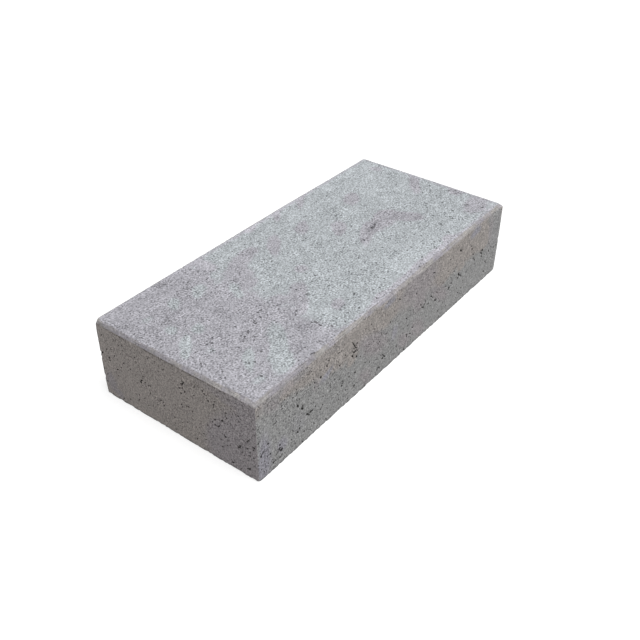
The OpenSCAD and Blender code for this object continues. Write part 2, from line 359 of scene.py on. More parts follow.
# Creamier stretches of the chamfer: the side, the share along it from its left as seen from outside, and
# the half length in mm
CREAM_STRETCHES = (
    (LEFT, 0.54, 12), (LEFT, 0.76, 18), (LEFT, 0.66, 6), (FRONT, 0.27, 16), (FRONT, 0.34, 24),
    (FRONT, 0.50, 20), (FRONT, 0.57, 34), (FRONT, 0.80, 26), (FRONT, 0.91, 12),
)

# Chips out of the arrises: the arris, the place along it as a share, its depth and the radius of the
# scoop, in mm.
NAMED_CHIPS = (
    ("left_back", 0.575, 4.2, 4.5),
    ("left_back", 0.52, 2.8, 4.0),
    ("left_back", 0.365, 4.0, 4.2),
    ("left_back", 0.25, 2.4, 9.0),
    ("left_back", 0.78, 1.4, 5.0),
    ("right_front", 0.50, 3.6, 4.0),
    ("back_rim", 0.19, 1.3, 5.0),
    ("back_rim", 0.06, 0.9, 4.0),
    ("back_rim", 0.26, 0.8, 5.0),
    ("front_rim", 0.22, 0.7, 4.0),
    ("left_rim", 0.72, 0.9, 3.5),
)

# Chips drawn at random: how many, the arris they are on, and the least and greatest depth and radius, in
# mm. The rim is the chamfer's lower arris, and tread its upper one.
SCATTERED_CHIPS = (
    (170, "bottom", (0.4, 1.9), (2.5, 8.0)),
    (14, "upright", (0.3, 0.9), (3.0, 6.0)),
    (36, "rim", (0.2, 0.6), (2.5, 6.0)),
    (36, "tread", (0.2, 0.5), (2.5, 6.0)),
)
CHIP_LIFTS = {"bottom": -1, "rim": 0.4, "tread": 2.4}  # how steeply the outward direction rises there
SCOOP_MARGIN = 2 * MM  # how far outside a scoop its depth is still worked out
BREAK_BLUR = 0.3 * MM  # over which a break's colour fades at its rim
SHALLOW_CHIP = 0.5 * MM  # a break starts to darken with painted shade below this depth
DEEP_CHIP = 1.6 * MM  # and is darkest this much deeper


# ---------------------------------------------------------------- noise


def hashed(cell, seed):
    """A number from 0 to 1 for each whole-numbered cell: its three coordinates and the seed are each
    multiplied by a large odd number and added, and the bits of the sum are stirred twice."""
    keys = np.array([374761393, 668265263, 2246822519], np.uint64)
    mixed = (cell.astype(np.int64).astype(np.uint64) * keys).sum(-1)
    mixed = mixed + np.uint64(seed * 1274126177 + 97)
    for shift in (15, 13):
        mixed = (mixed ^ (mixed >> np.uint64(shift))) * np.uint64(2654435761)
        mixed &= np.uint64(0xFFFFFFFFFF)
    return ((mixed >> np.uint64(8)) & np.uint64(0xFFFFFF)) / float(0xFFFFFF)


def noise(points, size, seed):
    """Smooth noise from -1 to 1 with features about `size` across: a hashed number at each corner of a
    cubic lattice, blended between the eight corners with the weight 3t^2 - 2t^3 on each axis."""
    place = points / size
    cell = np.floor(place)
    t = place - cell
    t = t * t * (3 - 2 * t)
    value = np.zeros(len(points))
    for corner in np.ndindex(2, 2, 2):
        step = np.array(corner)
        weight = np.where(step, t, 1 - t).prod(-1)
        value += weight * hashed(cell + step, seed)
    return 2 * value - 1


def cloud(points, size, octaves, seed):
    """Noise summed over octaves, each half as wide and 0.6 times as strong as the one before."""
    share = 0.6 ** np.arange(octaves)
    layers = [s * noise(points, size / 2**n, seed + n) for n, s in enumerate(share)]
    return sum(layers) / share.sum()


def smooth_step(value, low, high):
    """0 below low, 1 above high, and 3t^2 - 2t^3 between."""
    t = np.clip((value - low) / (high - low), 0, 1)
    return t * t * (3 - 2 * t)


# ---------------------------------------------------------------- grid of the skin


def graded_line(length):
    """Positions from -length/2 to length/2: a few fine cells at both ends and even ones between, with
    the number of cells a multiple of four so that the grid can halve twice."""
    inner = length - 2 * ARRIS_CELLS * ARRIS_CELL
    cells = 4 * round((inner / CELL + 2 * ARRIS_CELLS) / 4) - 2 * ARRIS_CELLS
    fine = ARRIS_CELL * np.arange(ARRIS_CELLS)
    middle = np.linspace(-inner / 2, inner / 2, cells + 1)
    return np.concatenate([fine - length / 2, middle, length / 2 - fine[::-1]])


def loop_of(xs, ys):
    """The points of a rectangle's outline, anticlockwise from its lowest corner."""
    front = np.stack([xs[:-1], np.full(len(xs) - 1, ys[0])], 1)
    right = np.stack([np.full(len(ys) - 1, xs[-1]), ys[:-1]], 1)
    back = np.stack([xs[:0:-1], np.full(len(xs) - 1, ys[-1])], 1)
    left = np.stack([np.full(len(ys) - 1, xs[0]), ys[:0:-1]], 1)
    return np.concatenate([front, right, back, left])


def grid_border(index):
    """Indices round the border of a grid stored row by row, in the order of loop_of."""
    sides = [index[0, :-1], index[:-1, -1], index[-1, :0:-1], index[:0:-1, 0]]
    return np.concatenate(sides)


def grid_faces(index):
    """Quads of a grid stored row by row, facing up."""
    quads = [index[:-1, :-1], index[:-1, 1:], index[1:, 1:], index[1:, :-1]]
    return np.stack(quads, -1).reshape(-1, 4)


def ring_faces(rings):
    """Quads between each ring of indices and the next."""
    low, high = rings[:-1], rings[1:]
    return np.stack([low, np.roll(low, -1, 1), np.roll(high, -1, 1), high], -1).reshape(-1, 4)


def halving_faces(outer, inner):
    """Triangles between a ring and one with half as many points: three for each pair of outer edges."""
    first, middle, last = outer[0::2], outer[1::2], np.roll(outer, -2)[0::2]
    after = np.roll(inner, -1)
    triangles = [(first, middle, inner), (middle, after, inner), (middle, last, after)]
    return np.concatenate([np.stack(t, 1) for t in triangles])


class Skin:
    """The points and faces of the skin while they are gathered. Each block of faces has a zone."""

    def __init__(self):
        self.points = []
        self.count = 0
        self.quads = []
        self.triangles = []
        self.quad_zones = []
        self.triangle_zones = []

    def add_points(self, plan, level):
        """Adds points at one level, or one level a row, and returns their indices in plan's layout."""
        level = np.broadcast_to(np.reshape(level, (-1,) + (1,) * (plan.ndim - 1)), plan.shape[:-1] + (1,))
        self.points.append(np.concatenate([plan, level], -1).reshape(-1, 3))
        index = self.count + np.arange(plan[..., 0].size).reshape(plan.shape[:-1])
        self.count += index.size
        return index

    def add_quads(self, quads, zone):
        self.quads.append(quads)
        self.quad_zones.append(np.broadcast_to(zone, len(quads)))

    def add_triangles(self, triangles, zone):
        self.triangles.append(triangles)
        self.triangle_zones.append(np.broadcast_to(zone, len(triangles)))


def skin_grid():
    """The sharp block as a grid: rings from under the block, up the faces, over the chamfer and onto the
    tread, then a coarser grid across the tread and one across the underside. Each ring is the plan
    outline drawn in by an inset, at one height."""
    xs, ys = graded_line(LENGTH), graded_line(DEPTH)
    plan_size = np.array([LENGTH, DEPTH])
    outline = loop_of(xs, ys)
    up_face = graded_line(SHOULDER) + SHOULDER / 2
    up_slope = np.linspace(0, 1, CHAMFER_ROWS + 1)[1:]
    insets = [UNDER_RIM, 0 * up_face, CHAMFER_WIDTH * up_slope, CHAMFER_WIDTH + TREAD_RIM]
    levels = [0 * UNDER_RIM, up_face, SHOULDER + CHAMFER_DROP * up_slope, HEIGHT + 0 * TREAD_RIM]
    insets, levels = np.concatenate(insets), np.concatenate(levels)

    skin = Skin()
    shrink = 1 - 2 * insets[:, None] / plan_size
    rings = skin.add_points(outline * shrink[:, None], levels)
    side = np.repeat([FRONT, RIGHT, BACK, LEFT], [len(xs) - 1, len(ys) - 1] * 2)
    face_start = len(UNDER_RIM)
    face_end = face_start + len(up_face) - 1
    row = np.arange(len(levels) - 1)[:, None]
    zones = np.where(row < face_start, UNDER, np.where(row < face_end, side, TREAD))
    skin.add_quads(ring_faces(rings), zones.ravel())

    def field(inset, level, step):
        """A grid inside an inset of the plan, on every step-th line of the outline's."""
        gx, gy = xs[::step], ys[::step]
        plan = np.stack(np.meshgrid(gx, gy), -1) * (1 - 2 * inset / plan_size)
        return skin.add_points(plan.reshape(-1, 2), level).reshape(len(gy), len(gx))

    tread = field(insets[-1] + RING_STEP, HEIGHT, 2)
    skin.add_quads(grid_faces(tread), TREAD)
    skin.add_triangles(halving_faces(rings[-1], grid_border(tread)), TREAD)

    inset = insets[0] + RING_STEP
    half_ring = skin.add_points(loop_of(xs[::2], ys[::2]) * (1 - 2 * inset / plan_size), 0)
    under = field(inset + RING_STEP, 0, 4)
    skin.add_quads(grid_faces(under)[:, ::-1], UNDER)
    skin.add_triangles(halving_faces(rings[0], half_ring)[:, ::-1], UNDER)
    skin.add_triangles(halving_faces(half_ring, grid_border(under))[:, ::-1], UNDER)
    return skin


# ---------------------------------------------------------------- blowholes


def length_of(zone):
    """How long a face is, as seen from outside."""
    return DEPTH if zone in (LEFT, RIGHT) else LENGTH


def face_place(points, zone):
    """Coordinates on a face as seen from outside: along it from its middle to the right, and up it."""
    x, y, z = points.T
    along = {FRONT: x, RIGHT: y, BACK: -x, LEFT: -y, TREAD: x}[zone]
    return np.stack([along, y if zone == TREAD else z], 1)


def place_in_space(place, zone):
    """The points of a face with the given coordinates on it, the reverse of face_place."""
    along, up = place.T
    x, y = LENGTH / 2 + 0 * up, DEPTH / 2 + 0 * up
    spots = {FRONT: (along, -y, up), RIGHT: (x, along, up), BACK: (-along, y, up)}
    spots |= {LEFT: (-x, -along, up), TREAD: (along, up, HEIGHT + 0 * up)}
    return np.stack(spots[zone], 1)


def face_points(points, zone):
    """Which points of the sharp grid lie on a face."""
    level = points[:, 2]
    if zone == TREAD:
        return level > HEIGHT - TOUCH
    offset = {FRONT: -DEPTH / 2, RIGHT: LENGTH / 2, BACK: DEPTH / 2, LEFT: -LENGTH / 2}[zone]
    axis = 1 if zone in (FRONT, BACK) else 0
    return (np.abs(points[:, axis] - offset) < TOUCH) & (level < SHOULDER + TOUCH)


def group_of_holes(rng, face_length, along, up, spread_along, spread_up, count, widest):
    """One group: the holes follow a random walk, each step a normal draw both ways, which is moved to
    the group's middle and scaled to its spread; the widest is one of them."""
    middle = np.array([(along - 0.5) * face_length, up * SHOULDER])
    spread = np.array([spread_along, spread_up]) * MM
    walk = np.cumsum(rng.normal(size=(count, 2)), 0)
    walk -= walk.mean(0)
    offsets = walk / max(np.abs(walk).max(), 0.5) * spread
    radii = widest * MM * rng.uniform(*GROUP_RADII, count)
    radii[rng.integers(count)] = widest * MM
    return np.column_stack([middle + offsets, radii])


def holes_of(zone):
    """Every blowhole of a face, as rows of place along, place up and radius. A table's radii are
    multiplied by a factor that grows evenly from one end of its face to the other, and rounded to a
    tenth of a millimetre."""
    rng = np.random.default_rng(40 + zone)
    face_length = length_of(zone)
    low, high = (-DEPTH / 2, DEPTH / 2) if zone == TREAD else (0, SHOULDER)
    share = face_length / LENGTH
    named = {FRONT: FRONT_HOLES, LEFT: LEFT_HOLES, TREAD: TREAD_HOLES}.get(zone)
    if named is None:
        groups = []
        for _ in range(round(FAR_GROUPS * share)):
            middle = rng.random(), rng.beta(2, 2.5)
            spreads = rng.uniform(*FAR_SPREADS, 2)
            groups.append((*middle, *spreads, rng.integers(*FAR_COUNTS), rng.uniform(*FAR_WIDEST)))
        holes = [group_of_holes(rng, face_length, *group) for group in groups]
    else:
        along, up, radius = np.array(named).T * MM
        start, end = HOLE_GROWTH[zone]
        radius *= start + (end - start) * (along / face_length + 0.5)
        holes = [np.column_stack([along, up, radius.round(4)])]
    strays = round(STRAY_HOLES * share)
    along = rng.uniform(-face_length / 2, face_length / 2, strays)
    up = low + (high - low) * rng.beta(1.3, 1.9, strays)
    holes.append(np.column_stack([along, up, rng.uniform(*STRAY_RADII, strays) * MM]))
    holes = np.concatenate(holes)
    borders = [face_length / 2 - np.abs(holes[:, 0]), holes[:, 1] - low, high - holes[:, 1]]
    return holes[np.minimum.reduce(borders) > ARRIS_FREE * holes[:, 2]]


def lobes_of(holes, zone):
    """Three overlapping circles in a slanting row for each hole, so that it is a slot and not round. The
    slant is much the same over one face, since the mix sags one way."""
    rng = np.random.default_rng(60 + zone)
    slant = np.radians(HOLE_SLANTS.get(zone, 90) + rng.uniform(-SLANT_SPREAD, SLANT_SPREAD, len(holes)))
    step = (LOBE_STEP * holes[:, 2] * np.stack([np.cos(slant), np.sin(slant)])).T
    lobes = np.concatenate([holes, holes, holes])
    lobes[:, :2] += np.concatenate([step, 0 * step, -step])
    lobes[:, 2] *= LOBE_RADIUS
    return lobes


def hole_line(points, holes, zone):
    """The part of a point's margin from the nearest hole that runs straight across the face. The margin
    of a point p from a hole of centre c and radius r is |p - c|^2 - r^2, in mm2. Less |p|^2 it is
    |c|^2 - r^2 - 2 p.c, which a coarse grid carries exactly, and the material adds |p|^2 back."""
    centres = place_in_space(holes[:, :2], zone) / MM
    level = (centres**2).sum(1) - (holes[:, 2] / MM) ** 2
    return (level - 2 * (points / MM) @ centres.T).min(1)


def draw_in(place, holes, face_length):
    """Draws the grid in towards each hole so that small holes get a rim of their own: within its reach
    R, a point at distance r moves to r (r/R)^(pull - 1). The reach ends short of the face's border."""
    for hole in holes:
        middle, radius = hole[:2], hole[2]
        border = min(face_length / 2 - abs(middle[0]), middle[1], SHOULDER - middle[1])
        reach = min(HOLE_REACH * radius, 0.95 * border)
        offset = place - middle
        distance = np.hypot(*offset.T)
        near = (distance < reach) & (distance > 0)
        scale = (distance[near] / reach) ** (HOLE_PULL - 1)
        place[near] = middle + offset[near] * scale[:, None]
    return place


def hole_depth(place, holes, seed):
    """Depth below the face: each hole is a bowl, depth times sqrt(1 - (r/radius)^2), with the radius
    pushed in and out round the rim by noise and the deepest bowl taken where some overlap."""
    lifted = np.column_stack([place, np.zeros(len(place))])
    uneven = 1 + HOLE_UNEVEN * noise(lifted, HOLE_WAVE, seed)
    depth = np.zeros(len(place))
    for middle_x, middle_y, radius in holes:
        near = np.hypot(place[:, 0] - middle_x, place[:, 1] - middle_y) / (radius * uneven)
        bowl = HOLE_DEPTH * radius * np.sqrt(np.clip(1 - near**2, 0, None))
        depth = np.maximum(depth, bowl)
    return depth


# ---------------------------------------------------------------- shape


def smooth_max(a, b, width):
    """The larger of a and b, rounded where they cross: width/4 times (1 - |a - b|/width)^2 is added
    while |a - b| is under the width."""
    near = np.clip(1 - np.abs(a - b) / width, 0, None)
    return np.maximum(a, b) + width * near**2 / 4


def chamfer_sizes(points):
    """Width and drop of the chamfer at each point, for the ends and then for the long sides. The left
    end's twist runs straight from minus its size at the front to plus at the back, and bows between;
    the other changes are smooth steps along the sides."""
    x, y = points[:, 0], points[:, 1] / (DEPTH / 2)
    twist = LEFT_TWIST * y + LEFT_SINK * (1 - y**2)
    end_width = CHAMFER_WIDTH - np.where(x < 0, twist, RIGHT_WIDER * np.clip(y, -1, 0))
    end_drop = CHAMFER_DROP + np.where(x < 0, twist, 0)
    back_change = (BACK_NARROWER + BACK_WIDER) * smooth_step(x, 0.1 * LENGTH, 0.48 * LENGTH) - BACK_NARROWER
    front_change = FRONT_WIDER * smooth_step(x, 0, 0.13 * LENGTH)
    front_change += FRONT_CORNER * smooth_step(x, LENGTH / 2 - FRONT_CORNER_RUN, LENGTH / 2)
    long_width = CHAMFER_WIDTH + np.where(y < 0, front_change, back_change)
    shallower = FRONT_SHALLOWER * smooth_step(x, 0.13 * LENGTH, 0.4 * LENGTH)
    long_drop = CHAMFER_DROP - np.where(y < 0, shallower, 0)
    return (end_width, end_drop), (long_width, long_drop)


def block_distance(points, wear, scoops):
    """How far each point is outside the block: the largest of its distances past the faces, the
    chamfer's slopes, the tread and the underside, with the arrises rounded by smooth_max, and of its
    depths inside the chips' scoops."""
    x = np.abs(points[:, 0]) - LENGTH / 2
    y = np.abs(points[:, 1]) - DEPTH / 2
    above = points[:, 2] - HEIGHT
    end_slope, long_slope = [
        (drop * out + width * above + width * drop) / np.hypot(width, drop)
        for out, (width, drop) in zip((x, y), chamfer_sizes(points))
    ]
    uprights = smooth_max(x, y, wear["upright"])
    slopes = smooth_max(end_slope, long_slope, wear["mitre"])
    body = smooth_max(uprights, slopes, wear["shoulder"])
    body = smooth_max(body, above, wear["tread"])
    body = smooth_max(body, -points[:, 2], wear["bottom"])
    for middle, radius, members in scoops:
        inside = radius - np.linalg.norm(points[members] - middle, axis=1)
        body[members] = np.maximum(body[members], inside)
    return body


def settle(points, wear, scoops, depth):
    """Moves the points onto the surface where block_distance plus the relief depth is zero, by Newton
    steps along the gradient of the distance."""
    nudge = 0.02 * MM
    for _ in range(3):
        value = block_distance(points, wear, scoops)
        slope = [block_distance(points + nudge * axis, wear, scoops) - value for axis in np.eye(3)]
        slope = np.stack(slope, 1) / nudge
        points = points - ((value + depth) / (slope**2).sum(1))[:, None] * slope
    return points


def wear_of(points):
    """The rounding widths at each point, varied by noise and wider at the bottom corners."""
    from_corner = np.hypot(np.abs(points[:, 0]) - LENGTH / 2, np.abs(points[:, 1]) - DEPTH / 2)
    blunt = CORNER_WEAR * np.exp(-from_corner / CORNER_REACH)
    left, front = (points[:, :2] < 0).T.astype(int)
    corner_share = np.array(TOP_CORNER_SHARES)[left, front]
    blunt_top = TOP_CORNER_WEAR * np.exp(-from_corner / CORNER_REACH) * corner_share
    rough = 1 + WEAR_UNEVEN * cloud(points, WEAR_WAVE, 3, 11)
    low = np.exp(-points[:, 2] / CORNER_REACH)
    high = np.exp((points[:, 2] - SHOULDER) / CORNER_REACH)
    return {
        "upright": UPRIGHT_WEAR * rough + blunt * low + TOP_UPRIGHT_SHARE * blunt_top * high,
        "mitre": SHOULDER_WEAR * rough + blunt_top,
        "shoulder": SHOULDER_WEAR * rough,
        "tread": TREAD_WEAR * rough,
        "bottom": BOTTOM_WEAR * rough + blunt,
    }


def arris_point(name, share):
    """A point on an arris at a share of its length, and the outward direction there."""
    x, y = LENGTH / 2, DEPTH / 2
    run = 2 * share - 1
    ends = {"left": (-x, run * y, -1, 0), "right": (x, run * y, 1, 0)}
    ends |= {"front": (run * x, -y, 0, -1), "back": (run * x, y, 0, 1)}
    side, kind = name.split("_")
    if kind in CHIP_LIFTS:
        px, py, nx, ny = ends[side]
        inset = CHAMFER_WIDTH if kind == "tread" else 0
        level = {"bottom": 0, "rim": SHOULDER, "tread": HEIGHT}[kind]
        place, out = (px - inset * nx, py - inset * ny, level), (nx, ny, CHIP_LIFTS[kind])
    else:
        sx, sy = (-1 if side == "left" else 1), (-1 if kind == "front" else 1)
        place, out = (sx * x, sy * y, share * SHOULDER), (sx, sy, 0)
    return np.array(place), np.array(out) / np.linalg.norm(out)


def chip_list():
    """The named chips, then seeded ones along the bottom, upright and chamfer arrises."""
    rng = np.random.default_rng(7)
    chips = [(name, share, depth * MM, radius * MM) for name, share, depth, radius in NAMED_CHIPS]
    long_share = LENGTH / (LENGTH + DEPTH) / 2
    side_weights = [long_share, long_share, 0.5 - long_share, 0.5 - long_share]
    for count, kind, depths, radii in SCATTERED_CHIPS:
        if kind == "upright":
            names, weights = ["left_front", "right_front", "left_back", "right_back"], [0.25] * 4
        else:
            names, weights = [f"{side}_{kind}" for side in ("front", "back", "left", "right")], side_weights
        for name in rng.choice(names, count, p=weights):
            depth = rng.uniform(*depths) * MM
            chips.append((name, rng.random(), depth, rng.uniform(*radii) * MM))
    return chips


def scoops_of(points):
    """Each chip as a ball that stands outside its arris and reaches in by the chip's depth, with the
    points that it can touch."""
    scoops = []
    for name, share, depth, radius in chip_list():
        place, out = arris_point(name, share)
        middle = place + out * (radius - depth)
        members = np.flatnonzero(np.linalg.norm(points - middle, axis=1) < radius + SCOOP_MARGIN)
        scoops.append((middle, radius, members))
    return scoops


def chipped(points, scoops):
    """1 where a chip's scoop made the surface, 0 where it is as pressed."""
    broken = np.zeros(len(points))
    for middle, radius, members in scoops:
        gap = np.abs(np.linalg.norm(points[members] - middle, axis=1) - radius)
        broken[members] = np.maximum(broken[members], np.clip(1.3 - gap / BREAK_BLUR, 0, 1))
    return broken


def chip_depth(points, wear):
    """How far each point lies in the block as it would be with no chips, past a shallow chip's depth."""
    return np.clip(-block_distance(points, wear, []) - SHALLOW_CHIP, 0, None)


def runs_in(points):
    """How far each point lies in from the nearer end, and from the nearer long side."""
    return LENGTH / 2 - np.abs(points[:, 0]), DEPTH / 2 - np.abs(points[:, 1])


def inset_of(points):
    """How far each point lies in from the outline of the plan."""
    return np.minimum(*runs_in(points))


def nearest_chamfer(points):
    """Width and drop of the chamfer on the side that each point is nearest."""
    from_end, from_side = runs_in(points)
    return [np.where(from_end < from_side, end, long) for end, long in zip(*chamfer_sizes(points))]


def relief_depth(points, hole):
    """How far the surface lies inside the sharp block: slow waves of the faces and the tread, the ledge
    under the chamfer, the crumbled strip round the bottom arris, and the blowholes."""
    level, inset = points[:, 2], inset_of(points)
    swell = np.where(level > HEIGHT - TOUCH, TREAD_SWELL, FACE_SWELL)
    depth = swell * (1 + cloud(points, SWELL_WAVE, 4, 31)) * smooth_step(level, 0, SWELL_START)
    face = (inset < TOUCH) & (level < SHOULDER + TOUCH)
    drop = nearest_chamfer(points)[1]
    under_chamfer = (HEIGHT - drop - LEDGE_WIDTH - level) / LEDGE_WIDTH
    uneven = 1 + LEDGE_UNEVEN * noise(points, LEDGE_WAVE, 52)
    depth = depth + face * uneven * LEDGE_DEPTH * np.exp(-(under_chamfer**2))
    crumbs = np.clip(cloud(points, CRUMB_SIZE, 3, 61) + CRUMB_EXTRA, 0, None)
    depth = depth + CRUMBLE_DEPTH * crumbs * np.exp(-(level + inset) / CRUMBLE_HEIGHT)
    return depth + hole


# ---------------------------------------------------------------- tints that go with the shape, and some painted light and shade


def soft_spot(x, y, centre_x, centre_y, half_length, half_width, turn):
    """A soft ellipse, its centre and sizes in mm and its turn in degrees: exp(-d^4) of the distance d
    from its centre, in half lengths and half widths."""
    c, s = math.cos(math.radians(turn)), math.sin(math.radians(turn))
    x, y = x / MM - centre_x, y / MM - centre_y
    along = (c * x + s * y) / half_length
    across = (c * y - s * x) / half_width
    return np.exp(-((along**2 + across**2) ** 2))


def stain_fields(points):
    """How rosy and how dark each point of the tread is. The left third is rosier and darker, up to a
    border that wanders with noise; the stains add soft ellipses, read at places pushed about by noise
    so that their outlines are uneven; a rosy rim runs beside the chamfer; and a paler strip runs along
    the back and the right."""
    wander = np.stack([cloud(points, 28 * MM, 4, seed) for seed in (71, 81)], 1)
    x, y = (points[:, :2] + STAIN_WANDER * wander).T
    left = 1 - smooth_step(x + BORDER_WANDER * cloud(points, 60 * MM, 4, 75), *LEFT_BORDER)
    rosy = LEFT_ROSY * left
    dark = LEFT_DARK * left
    shades = [(*ellipse, 0, SHADE_GAIN * darkness) for *ellipse, darkness in TREAD_SHADES]
    for *ellipse, rosiness, darkness in (*TREAD_STAINS, *shades):
        spot = soft_spot(x, y, *ellipse)
        rosy = rosy + rosiness * spot
        dark = dark + darkness * spot
    rim = 1 - smooth_step(inset_of(points) + 5 * MM * wander[:, 0], *RIM_FADE)
    rosy = np.clip(rosy + RIM_ROSY * rim, 0, 1)
    far_rim = np.zeros(len(points))
    for run, share in zip((DEPTH / 2 - points[:, 1], LENGTH / 2 - points[:, 0]), FAR_RIM_SHARES):
        from_arris = np.clip(run - CHAMFER_WIDTH, 0, None)
        far_rim = np.maximum(far_rim, share * np.exp(-from_arris / FAR_RIM_BREADTH))
    return rosy, dark - far_rim


def band_fields(points, zones_of_points):
    """How tan, rosy, lilac and dark each point of a face is. A long face is tan in its upper part, down
    to a border that wanders with noise and climbs towards the left corner. An end is tan save near the
    front arris, over a breadth that shrinks upwards. The faces' own stains, and some painted light and
    shade on the left end, are soft ellipses on top."""
    up = points[:, 2] / SHOULDER
    end = (zones_of_points == LEFT) | (zones_of_points == RIGHT)
    drift = cloud(points, 90 * MM, 3, 91)
    border = TAN_BORDER + 0 * up
    for fall, start, stop in TAN_BORDER_FALLS:
        border -= fall * smooth_step(points[:, 0], start * LENGTH, stop * LENGTH)
    long_tan = smooth_step(up + TAN_WANDER * drift - border, -TAN_FADE, TAN_FADE)
    from_front = points[:, 1] + DEPTH / 2
    breadth = END_GREY - END_GREY_SHRINK * smooth_step(up, 0.25, 1.0)
    end_tan = smooth_step(from_front + END_FADE * drift - breadth, -END_FADE, END_FADE)
    tan = np.where(end, end_tan, long_tan)
    on_back = zones_of_points == BACK
    rosy = BACK_ROSY * on_back * smooth_step(cloud(points, 70 * MM, 3, 101), 0.15, 0.45)
    lilac = np.zeros(len(points))
    dark = np.zeros(len(points))
    wander = np.stack([cloud(points, 22 * MM, 3, seed) for seed in (73, 83)], 1)
    for zone, share_along, share_up, half_length, half_height, turn, *amounts in FACE_STAINS_AND_PAINTED_LIGHT:
        members = np.flatnonzero(zones_of_points == zone)
        place = face_place(points[members], zone) + STAIN_WANDER * wander[members]
        centre = (share_along - 0.5) * length_of(zone) / MM, share_up * SHOULDER / MM
        spot = soft_spot(*place.T, *centre, half_length, half_height, turn)
        for field, amount in zip((tan, rosy, lilac, dark), amounts):
            field[members] += amount * spot
    return np.clip(tan, 0, 1), np.clip(rosy, 0, 1), np.clip(lilac, 0, 1), dark


def cream_field(points, zones_of_points):
    """How creamy the chamfer is: a soft spot for each stretch, with the rest left to the material."""
    cream = np.zeros(len(points))
    wander = CREAM_WANDER * cloud(points, 15 * MM, 2, 171)
    for zone, share, half_length in CREAM_STRETCHES:
        members = np.flatnonzero(zones_of_points == zone)
        along = face_place(points[members], zone)[:, 0] + wander[members]
        run = along - (share - 0.5) * length_of(zone)
        cream[members] += np.exp(-((run / (half_length * MM)) ** 4))
    return np.clip(cream, 0, 1)


def porous_field(points):
    """Where the faces are most open: round the upright arris at the left front, breaking up away from it,
    and in clouds elsewhere."""
    from_arris = np.hypot(points[:, 0] + LENGTH / 2, points[:, 1] + DEPTH / 2)
    near = 1 - smooth_step(from_arris + POROUS_WANDER * cloud(points, 50 * MM, 3, 141), *POROUS_REACH)
    return np.maximum(near, smooth_step(cloud(points, 60 * MM, 3, 151), 0.1, 0.5))


# ---------------------------------------------------------------- the piece


def atlas_places(points, zones, corner):
    """Where each corner of each face lies on the texture map, in metres: the tread with its chamfer at
    the bottom left, the long faces above it, the ends above those, and the underside turned a quarter
    and shrunk beside them."""
    x, y = points[corner, 0] + LENGTH / 2, points[corner, 1] + DEPTH / 2
    z = np.clip(points[corner, 2], 0, SHOULDER)
    row = SHOULDER + ATLAS_GAP
    first = DEPTH + ATLAS_GAP
    islands = {
        TREAD: (x, y),
        FRONT: (x, first + z),
        BACK: (LENGTH - x, first + row + z),
        LEFT: (DEPTH - y, first + 2 * row + z),
        RIGHT: (y + DEPTH + ATLAS_GAP, first + 2 * row + z),
        UNDER: (LENGTH + ATLAS_GAP + UNDER_SHARE * y, UNDER_SHARE * x),
    }
    place = np.zeros((len(corner), 2))
    for zone, island in islands.items():
        chosen = zones == zone
        place[chosen] = np.stack(island, 1)[chosen]
    size = np.array([LENGTH + ATLAS_GAP + UNDER_SHARE * DEPTH, first + 3 * row])
    return ATLAS_GAP + place * (1 - 2 * ATLAS_GAP) / size


def open_holes(points):
    """Draws the grid's points in towards the blowholes, and returns how deep each then lies in one, and
    its hole_line for the material."""
    hole = np.zeros(len(points))
    line = np.full(len(points), np.inf)
    for zone in (FRONT, RIGHT, BACK, LEFT, TREAD):
        members = np.flatnonzero(face_points(points, zone))
        holes = holes_of(zone)
        if zone != TREAD:
            bowls = holes[holes[:, 2] > SMALLEST_BOWL]
            place = draw_in(face_place(points[members], zone), bowls, length_of(zone))
            points[members] = place_in_space(place, zone)
            hole[members] = np.maximum(hole[members], hole_depth(place, bowls, 110 + zone))
        lobes = lobes_of(holes, zone)
        line[members] = np.minimum(line[members], hole_line(points[members], lobes, zone))
    return hole, np.minimum(line, FAR_MARGIN - (points**2).sum(1) / MM**2)


def mesh_of(name, points, corner, sides):
    """A mesh from its points, the points at the corners of its faces in turn, and each face's number of
    sides."""
    mesh = bpy.data.meshes.new(name)
    mesh.vertices.add(len(points))
    mesh.vertices.foreach_set("co", points.ravel())
    mesh.loops.add(len(corner))
    mesh.loops.foreach_set("vertex_index", corner)
    mesh.polygons.add(len(sides))
    mesh.polygons.foreach_set("loop_start", np.cumsum(sides) - sides)
    mesh.update(calc_edges=True)
    if mesh.validate():
        raise RuntimeError("the skin's mesh had faults")
    mesh.shade_smooth()
    return mesh


def fall_of(points):
    """How far past the tread's arris each point lies, measured over the surface: more on the tread, less
    down the chamfer and the face. The chamfer's unevenness is taken in away from the corners."""
    level = points[:, 2]
    slant = math.hypot(CHAMFER_WIDTH, CHAMFER_DROP)
    on_tread = np.where(level > HEIGHT - TOUCH, inset_of(points) - CHAMFER_WIDTH, 0)
    on_slope = slant * (level - HEIGHT) / CHAMFER_DROP
    fall = np.where(level > SHOULDER, on_tread + on_slope, level - SHOULDER - slant)
    width, drop = nearest_chamfer(points)
    down = np.clip((HEIGHT - level) / CHAMFER_DROP, 0, 1)
    change = (1 - down) * (CHAMFER_WIDTH - width) + down * (drop - CHAMFER_DROP)
    from_end, from_side = runs_in(points)
    return fall + change * smooth_step(np.abs(from_side - from_end), 0, CORNER_FADE)


